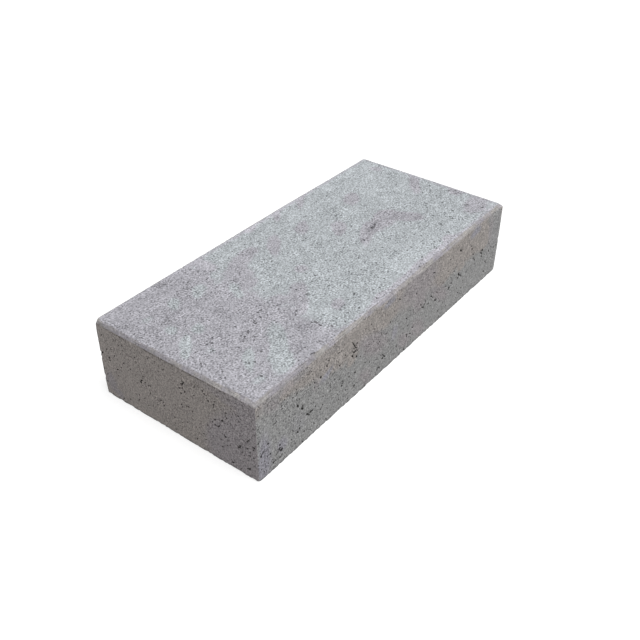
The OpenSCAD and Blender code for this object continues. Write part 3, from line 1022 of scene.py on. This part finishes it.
def marks_of(points, settled, wear, scoops):
    """What the material reads from the skin, by name, for points of the sharp grid and the places where
    they settled."""
    level = points[:, 2]
    from_end, from_side = runs_in(points)
    left, front = (points[:, :2] < 0).T
    is_end = from_end < from_side
    zone_of_point = np.where(is_end, np.where(left, LEFT, RIGHT), np.where(front, FRONT, BACK))
    above = level > SHOULDER
    rosy_tread, dark_tread = stain_fields(points)
    tan, rosy_face, lilac, dark_face = band_fields(points, zone_of_point)
    steep = above & (level < HEIGHT - TOUCH) & (zone_of_point == LEFT)
    # painted light: the left end's chamfer is paler where it is steep and gets less light
    dark_tread = dark_tread - STEEP_PAINTED_LIGHT * steep * smooth_step(points[:, 1], -0.1 * DEPTH, 0.3 * DEPTH)
    broken = chipped(settled, scoops)
    # a painted highlight along the left front upright, darker lines along the other three
    pairs = zip(LEFT_FRONT_HIGHLIGHT, OTHER_UPRIGHTS)
    narrowness, upright_tone = [np.where(left & front, *pair) for pair in pairs]
    return {
        "fall": fall_of(points) / MM,
        "upright": np.maximum(from_end, from_side) / MM * narrowness,
        "upright_tone": upright_tone * smooth_step(cloud(points, 30 * MM, 2, 161), -0.9, 0),
        # painted contact shadow along the foot
        "foot": np.clip(np.exp((FOOT_START - level - inset_of(points)) / FOOT_HEIGHT), 0, 1),
        "end_run": is_end,
        "rosy": np.where(above, rosy_tread, rosy_face),
        "dark": np.where(above, dark_tread, dark_face),
        "tan": tan,
        "cream": cream_field(points, zone_of_point),
        "lilac": lilac,
        "porous": np.where(above, 0, porous_field(points)),
        # how deep a point lies in a chip, for the painted shade there
        "sunk": np.clip(broken * chip_depth(settled, wear) / DEEP_CHIP, 0, 1),
        "chip": broken,
    }


def block_skin():
    """The block's one visible piece, with its attributes and texture map."""
    grid = skin_grid()
    points = np.concatenate(grid.points)
    hole, line = open_holes(points)
    wear = wear_of(points)
    scoops = scoops_of(points)
    settled = settle(points, wear, scoops, relief_depth(points, hole))
    settled[:, 2] = np.clip(settled[:, 2], 0, HEIGHT)

    corner = np.concatenate([np.concatenate(part).ravel() for part in (grid.quads, grid.triangles)])
    zones = np.concatenate(grid.quad_zones + grid.triangle_zones)
    sides = np.repeat([4, 3], [sum(map(len, part)) for part in (grid.quads, grid.triangles)])
    mesh = mesh_of("block_step_concrete", settled, corner, sides)
    marks = marks_of(points, settled, wear, scoops) | {"hole_line": line}
    for name, values in marks.items():
        made = mesh.attributes.new(name, "FLOAT", "POINT")
        made.data.foreach_set("value", values.astype(np.float32))
    sharp_place = mesh.attributes.new("sharp_place", "FLOAT_VECTOR", "POINT")
    sharp_place.data.foreach_set("vector", (points / MM).astype(np.float32).ravel())
    places = atlas_places(points, np.repeat(zones, sides), corner)
    mesh.uv_layers.new(name="OFBake").uv.foreach_set("vector", places.astype(np.float32).ravel())

    piece = bpy.data.objects.new("block_step_concrete", mesh)
    bpy.context.scene.collection.objects.link(piece)
    return piece


# ---------------------------------------------------------------- colours and strengths of the concrete

# Colours of the concrete, each as it is in plain light
TREAD_GREEN = (0.445, 0.473, 0.494, 1)
TREAD_ROSY = (0.430, 0.423, 0.461, 1)
FACE_GREY = (0.390, 0.389, 0.387, 1)
FACE_TAN = (0.431, 0.397, 0.376, 1)
FACE_ROSY = (0.417, 0.378, 0.391, 1)
FACE_LILAC = (0.397, 0.386, 0.432, 1)
END_TAN = (0.409, 0.372, 0.352, 1)
END_LILAC = (0.386, 0.356, 0.369, 1)
SLOPE_TAN = (0.366, 0.350, 0.337, 1)
SLOPE_ROSY = (0.353, 0.336, 0.368, 1)
SLOPE_CREAM = (0.425, 0.400, 0.372, 1)
# colour of a break, darkened in part as painted shade
BREAK_AND_SHADE = (0.330, 0.315, 0.305, 1)
# painted shade inside the blowholes and deep chips
HOLE_SHADE = (0.10, 0.095, 0.09, 1)
FRAY_OF_FILM = 0.28  # how strongly noise breaks up the borders of the film, and of the tan
FRAY_OF_TAN = 0.12
FILM_END = (-1.2, 0.8)  # mm past the tread's arris, where the film fades in
FACE_ROSY_SHARE = 0.75  # how much of its colour the fully rosy face has
CREAM_SHARE = 0.45  # and a creamy stretch of the chamfer

DRAWN_DOWN = 0.85  # how much slower the faces' grain runs upwards, from being pushed out of the mould
SLANT = math.hypot(CHAMFER_WIDTH, CHAMFER_DROP) / MM  # breadth of the chamfer, in mm
MARKS = (
    "fall", "upright", "upright_tone", "foot", "end_run", "rosy", "dark", "tan", "lilac", "porous",
    "hole_line", "sunk", "chip", "cream",
)

# Sand, and the finer grit over it
SAND_DENSITY = 520.0  # grains a metre
SAND_JITTER = (450.0, 0.9 * MM)  # noise features a metre, and how far they push the grains
SAND_CELL_TONE = 0.7  # how much lighter or darker one grain is
SAND_EDGE = (-0.9, 0.42)  # tone by the distance from a grain's middle: slope, and value there
SAND_RISE = 0.7  # how high the highest grains stand, beside the distance from their middle
GRIT_FINENESS = 1.2  # beside the sand's
GRIT_TONE = 1.1  # how much lighter or darker the grit is
GRIT_RISE = 0.8  # and how much higher
SAND_HEIGHTS = (0.22, 0.08)  # mm, on the faces and the tread, and on the chamfer

# Noise features a metre in the chamfer's streaks, across and along them
STREAK_FINENESS = 750.0
STREAK_LENGTHWAYS = 22.0

# How strongly the layers of tone show: on a dense and on a porous face, on a green and on a rosy film of
# the tread, and on the chamfer. The clouds' rows begin with their size in mm, the noise's detail, and
# whether they are drawn out upwards.
SAND_STRENGTHS = (0.405, 0.54, 0.298, 0.270, 0.260)
STREAK_STRENGTHS = (0.0, 0.0, 0.0, 0.0, 0.28)
CLOUDS = (
    (3, 0.0, True, (0.215, 0.215, 0.385, 0.352, 0.12)),
    (12, 2.0, False, (0.010, 0.010, 0.170, 0.130, 0.12)),
    (28, 2.0, False, (0.020, 0.020, 0.050, 0.050, 0.04)),
    (90, 2.0, False, (0.030, 0.030, 0.020, 0.020, 0.03)),
)
STAIN_AND_LIGHT_TONES = (-0.04, -0.10)  # change of tone by one unit of darkness, of a stain or of painted light and shade, on a face and on the tread
LIVELINESS = (0.8, 1.2)  # least and greatest factor on the layers

# Pinholes: cells a metre, and the radius in cells
PINHOLE_JITTER = (600.0, 1.2 * MM)
PINHOLE_SIZES = (0.8, 0.6)  # spread of the radii and the least of them, as factors
FINE_DENSITY = 185.0
FINE_PINHOLE = 0.19
WIDE_DENSITY = 118.0
WIDE_PINHOLE = 0.15
POROUS_PINHOLE = 0.03  # added to that where a face is porous
PINHOLE_RIM = (1.8, 0.7, -0.24)  # pale rim of paste: its middle and half width in radii, and the mask there
FINE_SHADE = 0.55  # how dark the fine ones are beside the wide ones
WIDE_SHADE = (0.8, 0.9)  # how dark the wide ones are, on the faces and on the tread
PINHOLES_ON_FACE = (0.90, 0.50)  # share of the cells that have one, where the face is grey and where tan
PINHOLES_ON_TREAD = (0.45, 0.90)  # and on the green film and the rosy film
PINHOLES_ON_SLOPE = 0.12
PIT_SHADE = -0.66  # change of tone in a pinhole, painted shade in the pit
PIT_DEPTH = 0.7  # mm, by bump
MOUTH_WAVER = 0.6  # mm2, how far noise pushes a blowhole's margin about
MOUTH_EDGE = 0.5  # mm2, over which its mouth fades either way
MOUTH_RIM = (2.4, 2.2)  # mm2, the margin in the middle of its pale rim, and half the rim's breadth
MOUTH_SHADE = (1.0, 0.62)  # how dark the painted shade in a blowhole is, on a face and on the tread
MOUTH_DEPTH = 0.8  # mm, by bump, besides the bowl in the skin
RIM_LIFT = 0.13  # how much paler a blowhole's rim is

# Lines along the arrises: the fall in their middle and half their breadth, in mm, and how much paler, or
# with a minus sign darker, they are
TREAD_LINE = (-0.5, 1.3, -0.22)
# a painted highlight along the chamfer's lower arris
SHOULDER_HIGHLIGHT = (-SLANT + 0.9, 1.2, 0.12)
# painted shade in the groove under the chamfer
LEDGE_SHADOW_LINE = (-SLANT - 1.7, 2.4, -1.0)
LEDGE_SHADE = (0.08, 0.45)  # strength of that painted shade on the long faces and on the ends
UPRIGHT_BREADTH = 2.0  # mm, half that of the left front upright's painted highlight
END_SLOPE_LIFT = 0.075  # how much paler the ends' chamfer is
FOOT_SHADE = -0.78  # change of tone in the painted contact shadow at the foot

ROUGHNESS = 0.90
SLOPE_SMOOTHER = 0.10  # how much less rough the drawn chamfer is


# ---------------------------------------------------------------- shader nodes


def add_node(tree, kind, inputs=None, **settings):
    """A new node with its own settings; each input is a socket to link from or a plain value."""
    made = tree.nodes.new(kind)
    for name, value in settings.items():
        setattr(made, name, value)
    for key, value in (inputs or {}).items():
        if isinstance(value, bpy.types.NodeSocket):
            tree.links.new(value, made.inputs[key])
        else:
            made.inputs[key].default_value = value
    return made


def maths(tree, operation, *terms):
    return add_node(tree, "ShaderNodeMath", dict(enumerate(terms)), operation=operation).outputs[0]


def smooth_range(tree, value, low, high, start=0.0, end=1.0):
    """Turns low..high into start..end with a smooth step between."""
    ends = {"Value": value, "From Min": low, "From Max": high, "To Min": start, "To Max": end}
    return add_node(tree, "ShaderNodeMapRange", ends, interpolation_type="SMOOTHSTEP").outputs["Result"]


def mix_numbers(tree, share, first, second):
    return add_node(tree, "ShaderNodeMix", {0: share, 2: first, 3: second}, data_type="FLOAT").outputs[0]


def mix_colours(tree, share, first, second, blend="MIX"):
    inputs = {0: share, 6: first, 7: second}
    return add_node(tree, "ShaderNodeMix", inputs, data_type="RGBA", blend_type=blend).outputs[2]


def stretched(tree, place, scale):
    """A place multiplied by a number on each axis."""
    return add_node(tree, "ShaderNodeVectorMath", {0: place, 1: scale}, operation="MULTIPLY").outputs[0]


def line_at(tree, value, middle, half_width, strength=1.0):
    """A soft line: strength where the value is middle, fading to nothing half_width away."""
    away = maths(tree, "ABSOLUTE", maths(tree, "SUBTRACT", value, middle))
    return smooth_range(tree, away, half_width, 0.0, 0.0, strength)


def soft_noise(tree, place, size, detail=2.0, roughness=0.5):
    """Noise from about -1 to 1 with features about size across."""
    inputs = {"Vector": place, "Scale": 1 / size, "Detail": detail, "Roughness": roughness}
    value = add_node(tree, "ShaderNodeTexNoise", inputs).outputs["Fac"]
    return maths(tree, "MULTIPLY_ADD", value, 4.0, -2.0)


def shader_group(name, inputs, outputs):
    """A node group with named inputs, each with its kind and usual value, and named outputs."""
    group = bpy.data.node_groups.new(name, "ShaderNodeTree")
    for label, (kind, value) in inputs.items():
        socket = group.interface.new_socket(label, in_out="INPUT", socket_type=kind)
        if value is not None:
            socket.default_value = value
    for label in outputs:
        group.interface.new_socket(label, in_out="OUTPUT", socket_type="NodeSocketFloat")
    start = group.nodes.new("NodeGroupInput")
    end = group.nodes.new("NodeGroupOutput")
    return group, start.outputs, end.inputs


def jittered(tree, place, fineness, push):
    """A place pushed about by up to `push` metres, by noise with so many features a metre."""
    jitter = add_node(tree, "ShaderNodeTexNoise", {"Vector": place, "Scale": fineness, "Detail": 1.0})
    inputs = {0: jitter.outputs["Color"], 1: (push,) * 3, 2: place}
    return add_node(tree, "ShaderNodeVectorMath", inputs, operation="MULTIPLY_ADD").outputs[0]


def cells_of(tree, place, density):
    """Voronoi cells: the distance from a cell's point, and two random numbers of the cell."""
    cells = add_node(tree, "ShaderNodeTexVoronoi", {"Vector": place, "Scale": density}).outputs
    lot = add_node(tree, "ShaderNodeSeparateColor", {0: cells["Color"]}).outputs
    return cells["Distance"], lot[0], lot[1]


def sand_group():
    """Sand in cement paste: cells the size of a grain, each a little lighter or darker, darker between
    them and raised like pebbles, with finer grit over them."""
    group, given, wanted = shader_group(
        "sand_in_paste",
        {"Place": ("NodeSocketVector", None), "Grains per Metre": ("NodeSocketFloat", 500.0)},
        ["Tone", "Height"],
    )
    place, density = given["Place"], given["Grains per Metre"]
    distance, lot, size = cells_of(group, jittered(group, place, *SAND_JITTER), density)
    finer = maths(group, "MULTIPLY", density, GRIT_FINENESS)
    grit = add_node(group, "ShaderNodeTexNoise", {"Vector": place, "Scale": finer, "Detail": 1.0})
    grit_tone = maths(group, "MULTIPLY_ADD", grit.outputs["Fac"], 3.0, -1.5)
    cell_tone = maths(group, "MULTIPLY_ADD", lot, 2.0, -1.0)
    tone = maths(group, "MULTIPLY_ADD", distance, *SAND_EDGE)
    tone = maths(group, "MULTIPLY_ADD", cell_tone, SAND_CELL_TONE, tone)
    tone = maths(group, "MULTIPLY_ADD", grit_tone, GRIT_TONE, tone)
    pebble = maths(group, "SUBTRACT", maths(group, "MULTIPLY", size, SAND_RISE), distance)
    height = maths(group, "MULTIPLY_ADD", grit.outputs["Fac"], GRIT_RISE, pebble)
    group.links.new(tone, wanted["Tone"])
    group.links.new(height, wanted["Height"])
    return group


def pinhole_group():
    """Pinholes: round cells of a Voronoi pattern whose point is nearer than the radius. Only a share of
    the cells has one, and each has its own size. The mask is a little under 0 on the pale rim of paste
    round a pinhole."""
    group, given, wanted = shader_group(
        "pinholes",
        {
            "Place": ("NodeSocketVector", None),
            "Cells per Metre": ("NodeSocketFloat", 80.0),
            "Share": ("NodeSocketFloat", 0.5),
            "Radius": ("NodeSocketFloat", 0.1),
        },
        ["Mask"],
    )
    pushed = jittered(group, given["Place"], *PINHOLE_JITTER)
    distance, lot, size = cells_of(group, pushed, given["Cells per Metre"])
    present = maths(group, "LESS_THAN", lot, given["Share"])
    radius = maths(group, "MULTIPLY", given["Radius"], maths(group, "MULTIPLY_ADD", size, *PINHOLE_SIZES))
    ratio = maths(group, "DIVIDE", distance, radius)
    mask = smooth_range(group, ratio, 1.15, 0.55)
    mask = maths(group, "ADD", line_at(group, ratio, *PINHOLE_RIM), mask)
    group.links.new(maths(group, "MULTIPLY", present, mask), wanted["Mask"])
    return group


def streak_group():
    """Streaks that the mould draws along a chamfer: noise stretched along X, or along Y where Along Y is
    1, and fine across."""
    group, given, wanted = shader_group(
        "mould_streaks",
        {"Place": ("NodeSocketVector", None), "Along Y": ("NodeSocketFloat", 0.0)},
        ["Tone"],
    )
    tones = []
    for along in (0, 1):
        fineness = [STREAK_FINENESS] * 3
        fineness[along] = STREAK_LENGTHWAYS
        scaled = stretched(group, given["Place"], fineness)
        drawn = add_node(group, "ShaderNodeTexNoise", {"Vector": scaled, "Scale": 1.0, "Detail": 3.0})
        tones.append(maths(group, "MULTIPLY_ADD", drawn.outputs["Fac"], 4.0, -2.0))
    group.links.new(mix_numbers(group, given["Along Y"], *tones), wanted["Tone"])
    return group


# ---------------------------------------------------------------- the concrete


def where_sockets(tree):
    """What the effects share, by name: the skin's attributes, the place, the place for grain that is
    drawn out upwards, and how much of a point is tread, slope of the chamfer, rosy film and tan. Fall is
    0 at the tread's arris, more on the tread, less down the chamfer and the face; the tread's film runs
    over the arris here and there, and breaks up finely at the borders of its stains."""
    at = {n: add_node(tree, "ShaderNodeAttribute", attribute_name=n).outputs["Fac"] for n in MARKS}
    place = add_node(tree, "ShaderNodeTexCoord").outputs["Object"]
    at["place"] = place
    at["drawn_place"] = stretched(tree, place, (1.0, 1.0, DRAWN_DOWN))
    runs_over = soft_noise(tree, place, 4 * MM)
    runs_over = maths(tree, "MULTIPLY_ADD", soft_noise(tree, place, 45 * MM), 2.0, runs_over)
    at["tread"] = smooth_range(tree, maths(tree, "ADD", at["fall"], runs_over), *FILM_END)
    off_face = smooth_range(tree, at["fall"], -SLANT - 0.3, -SLANT + 0.3)
    at["slope"] = maths(tree, "MULTIPLY", off_face, maths(tree, "SUBTRACT", 1.0, at["tread"]))
    fray = soft_noise(tree, place, 9 * MM, 4.0, 0.65)
    frayed = maths(tree, "MULTIPLY_ADD", fray, FRAY_OF_FILM, at["rosy"])
    at["film"] = smooth_range(tree, frayed, 0.15, 0.85)
    frayed = maths(tree, "MULTIPLY_ADD", fray, FRAY_OF_TAN, at["tan"])
    at["tan"] = smooth_range(tree, frayed, 0.05, 0.95)
    return at


def by_zone(tree, at, on_face, on_tread, on_slope):
    """A number with one value on the faces, one on the tread and one on the chamfer's slope."""
    return mix_numbers(tree, at["slope"], mix_numbers(tree, at["tread"], on_face, on_tread), on_slope)


def tint_of(tree, at):
    """The colour before any tone: the tread's rosy and green film, tan, grey, rosy and lilac faces, the
    drawn chamfer with its creamier stretches, and breaks in the chips, whose colour is partly painted
    shade."""
    place = at["place"]
    tread_colour = mix_colours(tree, at["film"], TREAD_GREEN, TREAD_ROSY)
    long_colour = mix_colours(tree, at["tan"], FACE_GREY, FACE_TAN)
    end_colour = mix_colours(tree, at["tan"], END_LILAC, END_TAN)
    face_colour = mix_colours(tree, at["end_run"], long_colour, end_colour)
    rosy = maths(tree, "MULTIPLY", at["rosy"], FACE_ROSY_SHARE)
    face_colour = mix_colours(tree, rosy, face_colour, FACE_ROSY)
    lilac_colour = mix_colours(tree, at["end_run"], FACE_LILAC, END_LILAC)
    face_colour = mix_colours(tree, at["lilac"], face_colour, lilac_colour)
    drift = smooth_range(tree, soft_noise(tree, place, 26 * MM, 3.0), -0.6, 0.6)
    slope_colour = mix_colours(tree, drift, SLOPE_TAN, SLOPE_ROSY)
    cream = smooth_range(tree, soft_noise(tree, place, 17 * MM), 0.75, 1.15)
    cream = maths(tree, "MAXIMUM", cream, maths(tree, "MULTIPLY", at["cream"], CREAM_SHARE))
    slope_colour = mix_colours(tree, cream, slope_colour, SLOPE_CREAM)
    colour = mix_colours(tree, at["tread"], face_colour, tread_colour)
    colour = mix_colours(tree, at["slope"], colour, slope_colour)
    return mix_colours(tree, at["chip"], colour, BREAK_AND_SHADE)


def layered_tone(tree, at, sand_tone):
    """Lighter and darker, round 1: the stains, with some painted light and shade among them, then sand,
    slower and slower clouds and the chamfer's streaks, which are all livelier in some places than in
    others."""
    place = at["place"]
    streaks = {"Place": place, "Along Y": at["end_run"]}
    streaks = add_node(tree, "ShaderNodeGroup", streaks, node_tree=streak_group()).outputs["Tone"]
    layers = [(sand_tone, SAND_STRENGTHS), (streaks, STREAK_STRENGTHS)]
    for size, detail, drawn, strengths in CLOUDS:
        cloud_place = at["drawn_place"] if drawn else place
        layers.append((soft_noise(tree, cloud_place, size * MM, detail), strengths))
    tone = maths(tree, "MULTIPLY_ADD", at["dark"], mix_numbers(tree, at["tread"], *STAIN_AND_LIGHT_TONES), 1.0)
    lively = smooth_range(tree, soft_noise(tree, place, 40 * MM), -0.8, 0.8, *LIVELINESS)
    for layer, (on_dense, on_porous, on_green, on_rosy, on_slope) in layers:
        on_face = mix_numbers(tree, at["porous"], on_dense, on_porous)
        on_tread = mix_numbers(tree, at["rosy"], on_green, on_rosy)
        strength = maths(tree, "MULTIPLY", by_zone(tree, at, on_face, on_tread, on_slope), lively)
        tone = maths(tree, "MULTIPLY_ADD", layer, strength, tone)
    return tone


def pinhole_mask(tree, at):
    """Pinholes: fine ones nearly everywhere and a few wider, fewer on the drawn chamfers. Their mask serves
    as painted shade in the pits and as their bump.
    """
    made = pinhole_group()
    on_face = maths(tree, "MAXIMUM", mix_numbers(tree, at["tan"], *PINHOLES_ON_FACE), at["porous"])
    on_tread = mix_numbers(tree, at["rosy"], *PINHOLES_ON_TREAD)
    share = by_zone(tree, at, on_face, on_tread, PINHOLES_ON_SLOPE)
    wide_radius = maths(tree, "MULTIPLY_ADD", at["porous"], POROUS_PINHOLE, WIDE_PINHOLE)
    masks = []
    for density, radius in ((FINE_DENSITY, FINE_PINHOLE), (WIDE_DENSITY, wide_radius)):
        inputs = {"Place": at["place"], "Cells per Metre": density, "Share": share, "Radius": radius}
        masks.append(add_node(tree, "ShaderNodeGroup", inputs, node_tree=made).outputs["Mask"])
    fine, wide = masks
    wide = maths(tree, "MULTIPLY", wide, mix_numbers(tree, at["tread"], *WIDE_SHADE))
    return maths(tree, "MAXIMUM", maths(tree, "MULTIPLY", fine, FINE_SHADE), wide)


def blowhole_masks(tree, at):
    """Blowholes: a mouth darkened with painted shade where the margin from the nearest hole is negative,
    and a pale rim.
    """
    sharp = add_node(tree, "ShaderNodeAttribute", attribute_name="sharp_place").outputs["Vector"]
    squared = add_node(tree, "ShaderNodeVectorMath", {0: sharp, 1: sharp}, operation="DOT_PRODUCT")
    margin = maths(tree, "ADD", squared.outputs["Value"], at["hole_line"])
    margin = maths(tree, "MULTIPLY_ADD", soft_noise(tree, at["place"], 1.6 * MM, 1.0), MOUTH_WAVER, margin)
    mouth = smooth_range(tree, margin, MOUTH_EDGE, -MOUTH_EDGE)
    rim = maths(tree, "SUBTRACT", line_at(tree, margin, *MOUTH_RIM), mouth)
    return maths(tree, "MULTIPLY", mouth, mix_numbers(tree, at["tread"], *MOUTH_SHADE)), rim


def arris_tones(tree, at):
    """What darkens or lightens the arrises, as masks with their strengths: a dark line where the tread
    meets the chamfer, a painted highlight on the chamfer's lower arris with painted shade in the ledge
    under it, a painted highlight on the left front upright and darker lines on the other uprights, the
    ends' paler chamfer, and a painted contact shadow at the foot."""
    patchy = smooth_range(tree, soft_noise(tree, at["place"], 30 * MM, 3.0), -0.7, 0.3)
    patchy_too = smooth_range(tree, soft_noise(tree, at["drawn_place"], 13 * MM, 3.0), -0.5, 0.6)
    # strength of the painted shade in the ledge
    ledge = maths(tree, "MULTIPLY", patchy, mix_numbers(tree, at["end_run"], *LEDGE_SHADE))
    return (
        (line_at(tree, at["fall"], *TREAD_LINE), patchy_too),
        (line_at(tree, at["fall"], *SHOULDER_HIGHLIGHT), patchy),
        (line_at(tree, at["fall"], *LEDGE_SHADOW_LINE), ledge),
        (line_at(tree, at["upright"], 0.0, UPRIGHT_BREADTH), at["upright_tone"]),
        (maths(tree, "MULTIPLY", at["slope"], at["end_run"]), END_SLOPE_LIFT),
        (at["foot"], FOOT_SHADE),
    )


def concrete():
    """The block's one material: a tint, times a tone, times the painted shade inside the blowholes and
    deep chips, with roughness and a bump of raised sand, pinholes and blowholes."""
    material = bpy.data.materials.new("pressed_concrete")
    material.use_nodes = True
    tree = material.node_tree
    surface = tree.nodes["Principled BSDF"].inputs
    at = where_sockets(tree)
    sand = {"Place": at["drawn_place"], "Grains per Metre": SAND_DENSITY}
    sand = add_node(tree, "ShaderNodeGroup", sand, node_tree=sand_group()).outputs
    pits = pinhole_mask(tree, at)
    mouth, rim = blowhole_masks(tree, at)

    tone = layered_tone(tree, at, sand["Tone"])
    for mask, strength in ((pits, PIT_SHADE), (rim, RIM_LIFT), *arris_tones(tree, at)):
        tone = maths(tree, "MULTIPLY", tone, maths(tree, "MULTIPLY_ADD", mask, strength, 1.0))
    grey = add_node(tree, "ShaderNodeCombineColor", {0: tone, 1: tone, 2: tone}).outputs[0]
    # painted shade inside the blowholes and deep chips
    inside = maths(tree, "MAXIMUM", mouth, smooth_range(tree, at["sunk"], 0.05, 0.75))
    shade = mix_colours(tree, inside, (1, 1, 1, 1), HOLE_SHADE)
    colour = mix_colours(tree, 1.0, tint_of(tree, at), grey, "MULTIPLY")
    tree.links.new(mix_colours(tree, 1.0, colour, shade, "MULTIPLY"), surface["Base Color"])

    roughness = maths(tree, "MULTIPLY_ADD", sand["Tone"], 0.03, ROUGHNESS)
    roughness = maths(tree, "MULTIPLY_ADD", at["slope"], -SLOPE_SMOOTHER, roughness)
    tree.links.new(roughness, surface["Roughness"])

    height = maths(tree, "MULTIPLY", sand["Height"], mix_numbers(tree, at["slope"], *SAND_HEIGHTS))
    height = maths(tree, "MULTIPLY_ADD", pits, -PIT_DEPTH, height)
    height = maths(tree, "MULTIPLY_ADD", mouth, -MOUTH_DEPTH, height)
    bump = add_node(tree, "ShaderNodeBump", {"Height": height, "Distance": MM, "Strength": 1.0})
    tree.links.new(bump.outputs["Normal"], surface["Normal"])
    return material


# ---------------------------------------------------------------- floor, light and camera

FLOOR_REACH = 40.0  # from the middle to each side
FLOOR_COLOUR = 0.5
FLOOR_GLOW = 0.70  # what a ray from the camera adds, so that the lit floor is white
SKY = 0.35  # what the surround gives the block
KEY_STRENGTH = 0.68 * math.pi
KEY_WIDTH = math.radians(35)
KEY_FROM = (0.10, -0.30, 0.95)  # the way to the lamp
CAMERA_PLACE = (-1.00996, -0.76353, 0.94258)
CAMERA_AIM = (-0.07348, -0.05507, 0.0775)
CAMERA_ROLL = math.radians(0.29)
CAMERA_LENS = 46.83  # mm, with the picture CAMERA_FILM mm wide behind it
CAMERA_FILM = 36


def seen_rays(tree):
    """1 for rays from the camera, off gloss and through glass, 0 for the rays that light the block."""
    path = add_node(tree, "ShaderNodeLightPath").outputs
    seen = maths(tree, "MAXIMUM", path["Is Camera Ray"], path["Is Glossy Ray"])
    return maths(tree, "MAXIMUM", seen, path["Is Transmission Ray"])


def white_floor():
    """A flat square under the block that glows white towards the camera and keeps the block's shadow."""
    floor_mesh = bpy.data.meshes.new("floor")
    r = FLOOR_REACH
    floor_mesh.from_pydata([(-r, -r, 0), (r, -r, 0), (r, r, 0), (-r, r, 0)], [], [(0, 1, 2, 3)])
    floor = bpy.data.objects.new("floor", floor_mesh)
    bpy.context.scene.collection.objects.link(floor)
    material = bpy.data.materials.new("floor_white")
    material.use_nodes = True
    tree = material.node_tree
    tree.nodes.clear()
    diffuse = add_node(tree, "ShaderNodeBsdfDiffuse", {"Color": (FLOOR_COLOUR,) * 3 + (1,)})
    strength = maths(tree, "MULTIPLY", seen_rays(tree), FLOOR_GLOW)
    glow = add_node(tree, "ShaderNodeEmission", {"Strength": strength})
    both = add_node(tree, "ShaderNodeAddShader", {0: diffuse.outputs[0], 1: glow.outputs[0]})
    add_node(tree, "ShaderNodeOutputMaterial", {"Surface": both.outputs[0]})
    floor_mesh.materials.append(material)


def surround():
    """A world that is white to the camera and gives the block plain even light."""
    world = bpy.data.worlds.new("surround")
    bpy.context.scene.world = world
    world.use_nodes = True
    tree = world.node_tree
    background = tree.nodes["Background"]
    background.inputs["Color"].default_value = (1, 1, 1, 1)
    tree.links.new(mix_numbers(tree, seen_rays(tree), SKY, 1.0), background.inputs["Strength"])


def key_lamp():
    """One broad soft lamp, nearly overhead."""
    lamp_data = bpy.data.lights.new("key", "SUN")
    lamp_data.energy = KEY_STRENGTH
    lamp_data.angle = KEY_WIDTH
    lamp = bpy.data.objects.new("key", lamp_data)
    lamp.rotation_euler = Vector(KEY_FROM).to_track_quat("Z", "Y").to_euler()
    bpy.context.scene.collection.objects.link(lamp)


def view_camera():
    """The camera: it looks at its aim, with a slight roll."""
    camera_data = bpy.data.cameras.new("camera")
    camera_data.sensor_width = CAMERA_FILM
    camera_data.lens = CAMERA_LENS
    camera = bpy.data.objects.new("camera", camera_data)
    camera.location = CAMERA_PLACE
    camera.rotation_mode = "QUATERNION"
    ahead = (Vector(CAMERA_AIM) - camera.location).to_track_quat("-Z", "Y")
    camera.rotation_quaternion = ahead @ Quaternion((0, 0, 1), CAMERA_ROLL)
    bpy.context.scene.collection.objects.link(camera)
    bpy.context.scene.camera = camera


bpy.context.scene.view_settings.view_transform = "Standard"
white_floor()
surround()
key_lamp()
view_camera()
step_piece = block_skin()
step_piece.data.materials.append(concrete())
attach(step_piece, "root")
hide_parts(NODE)
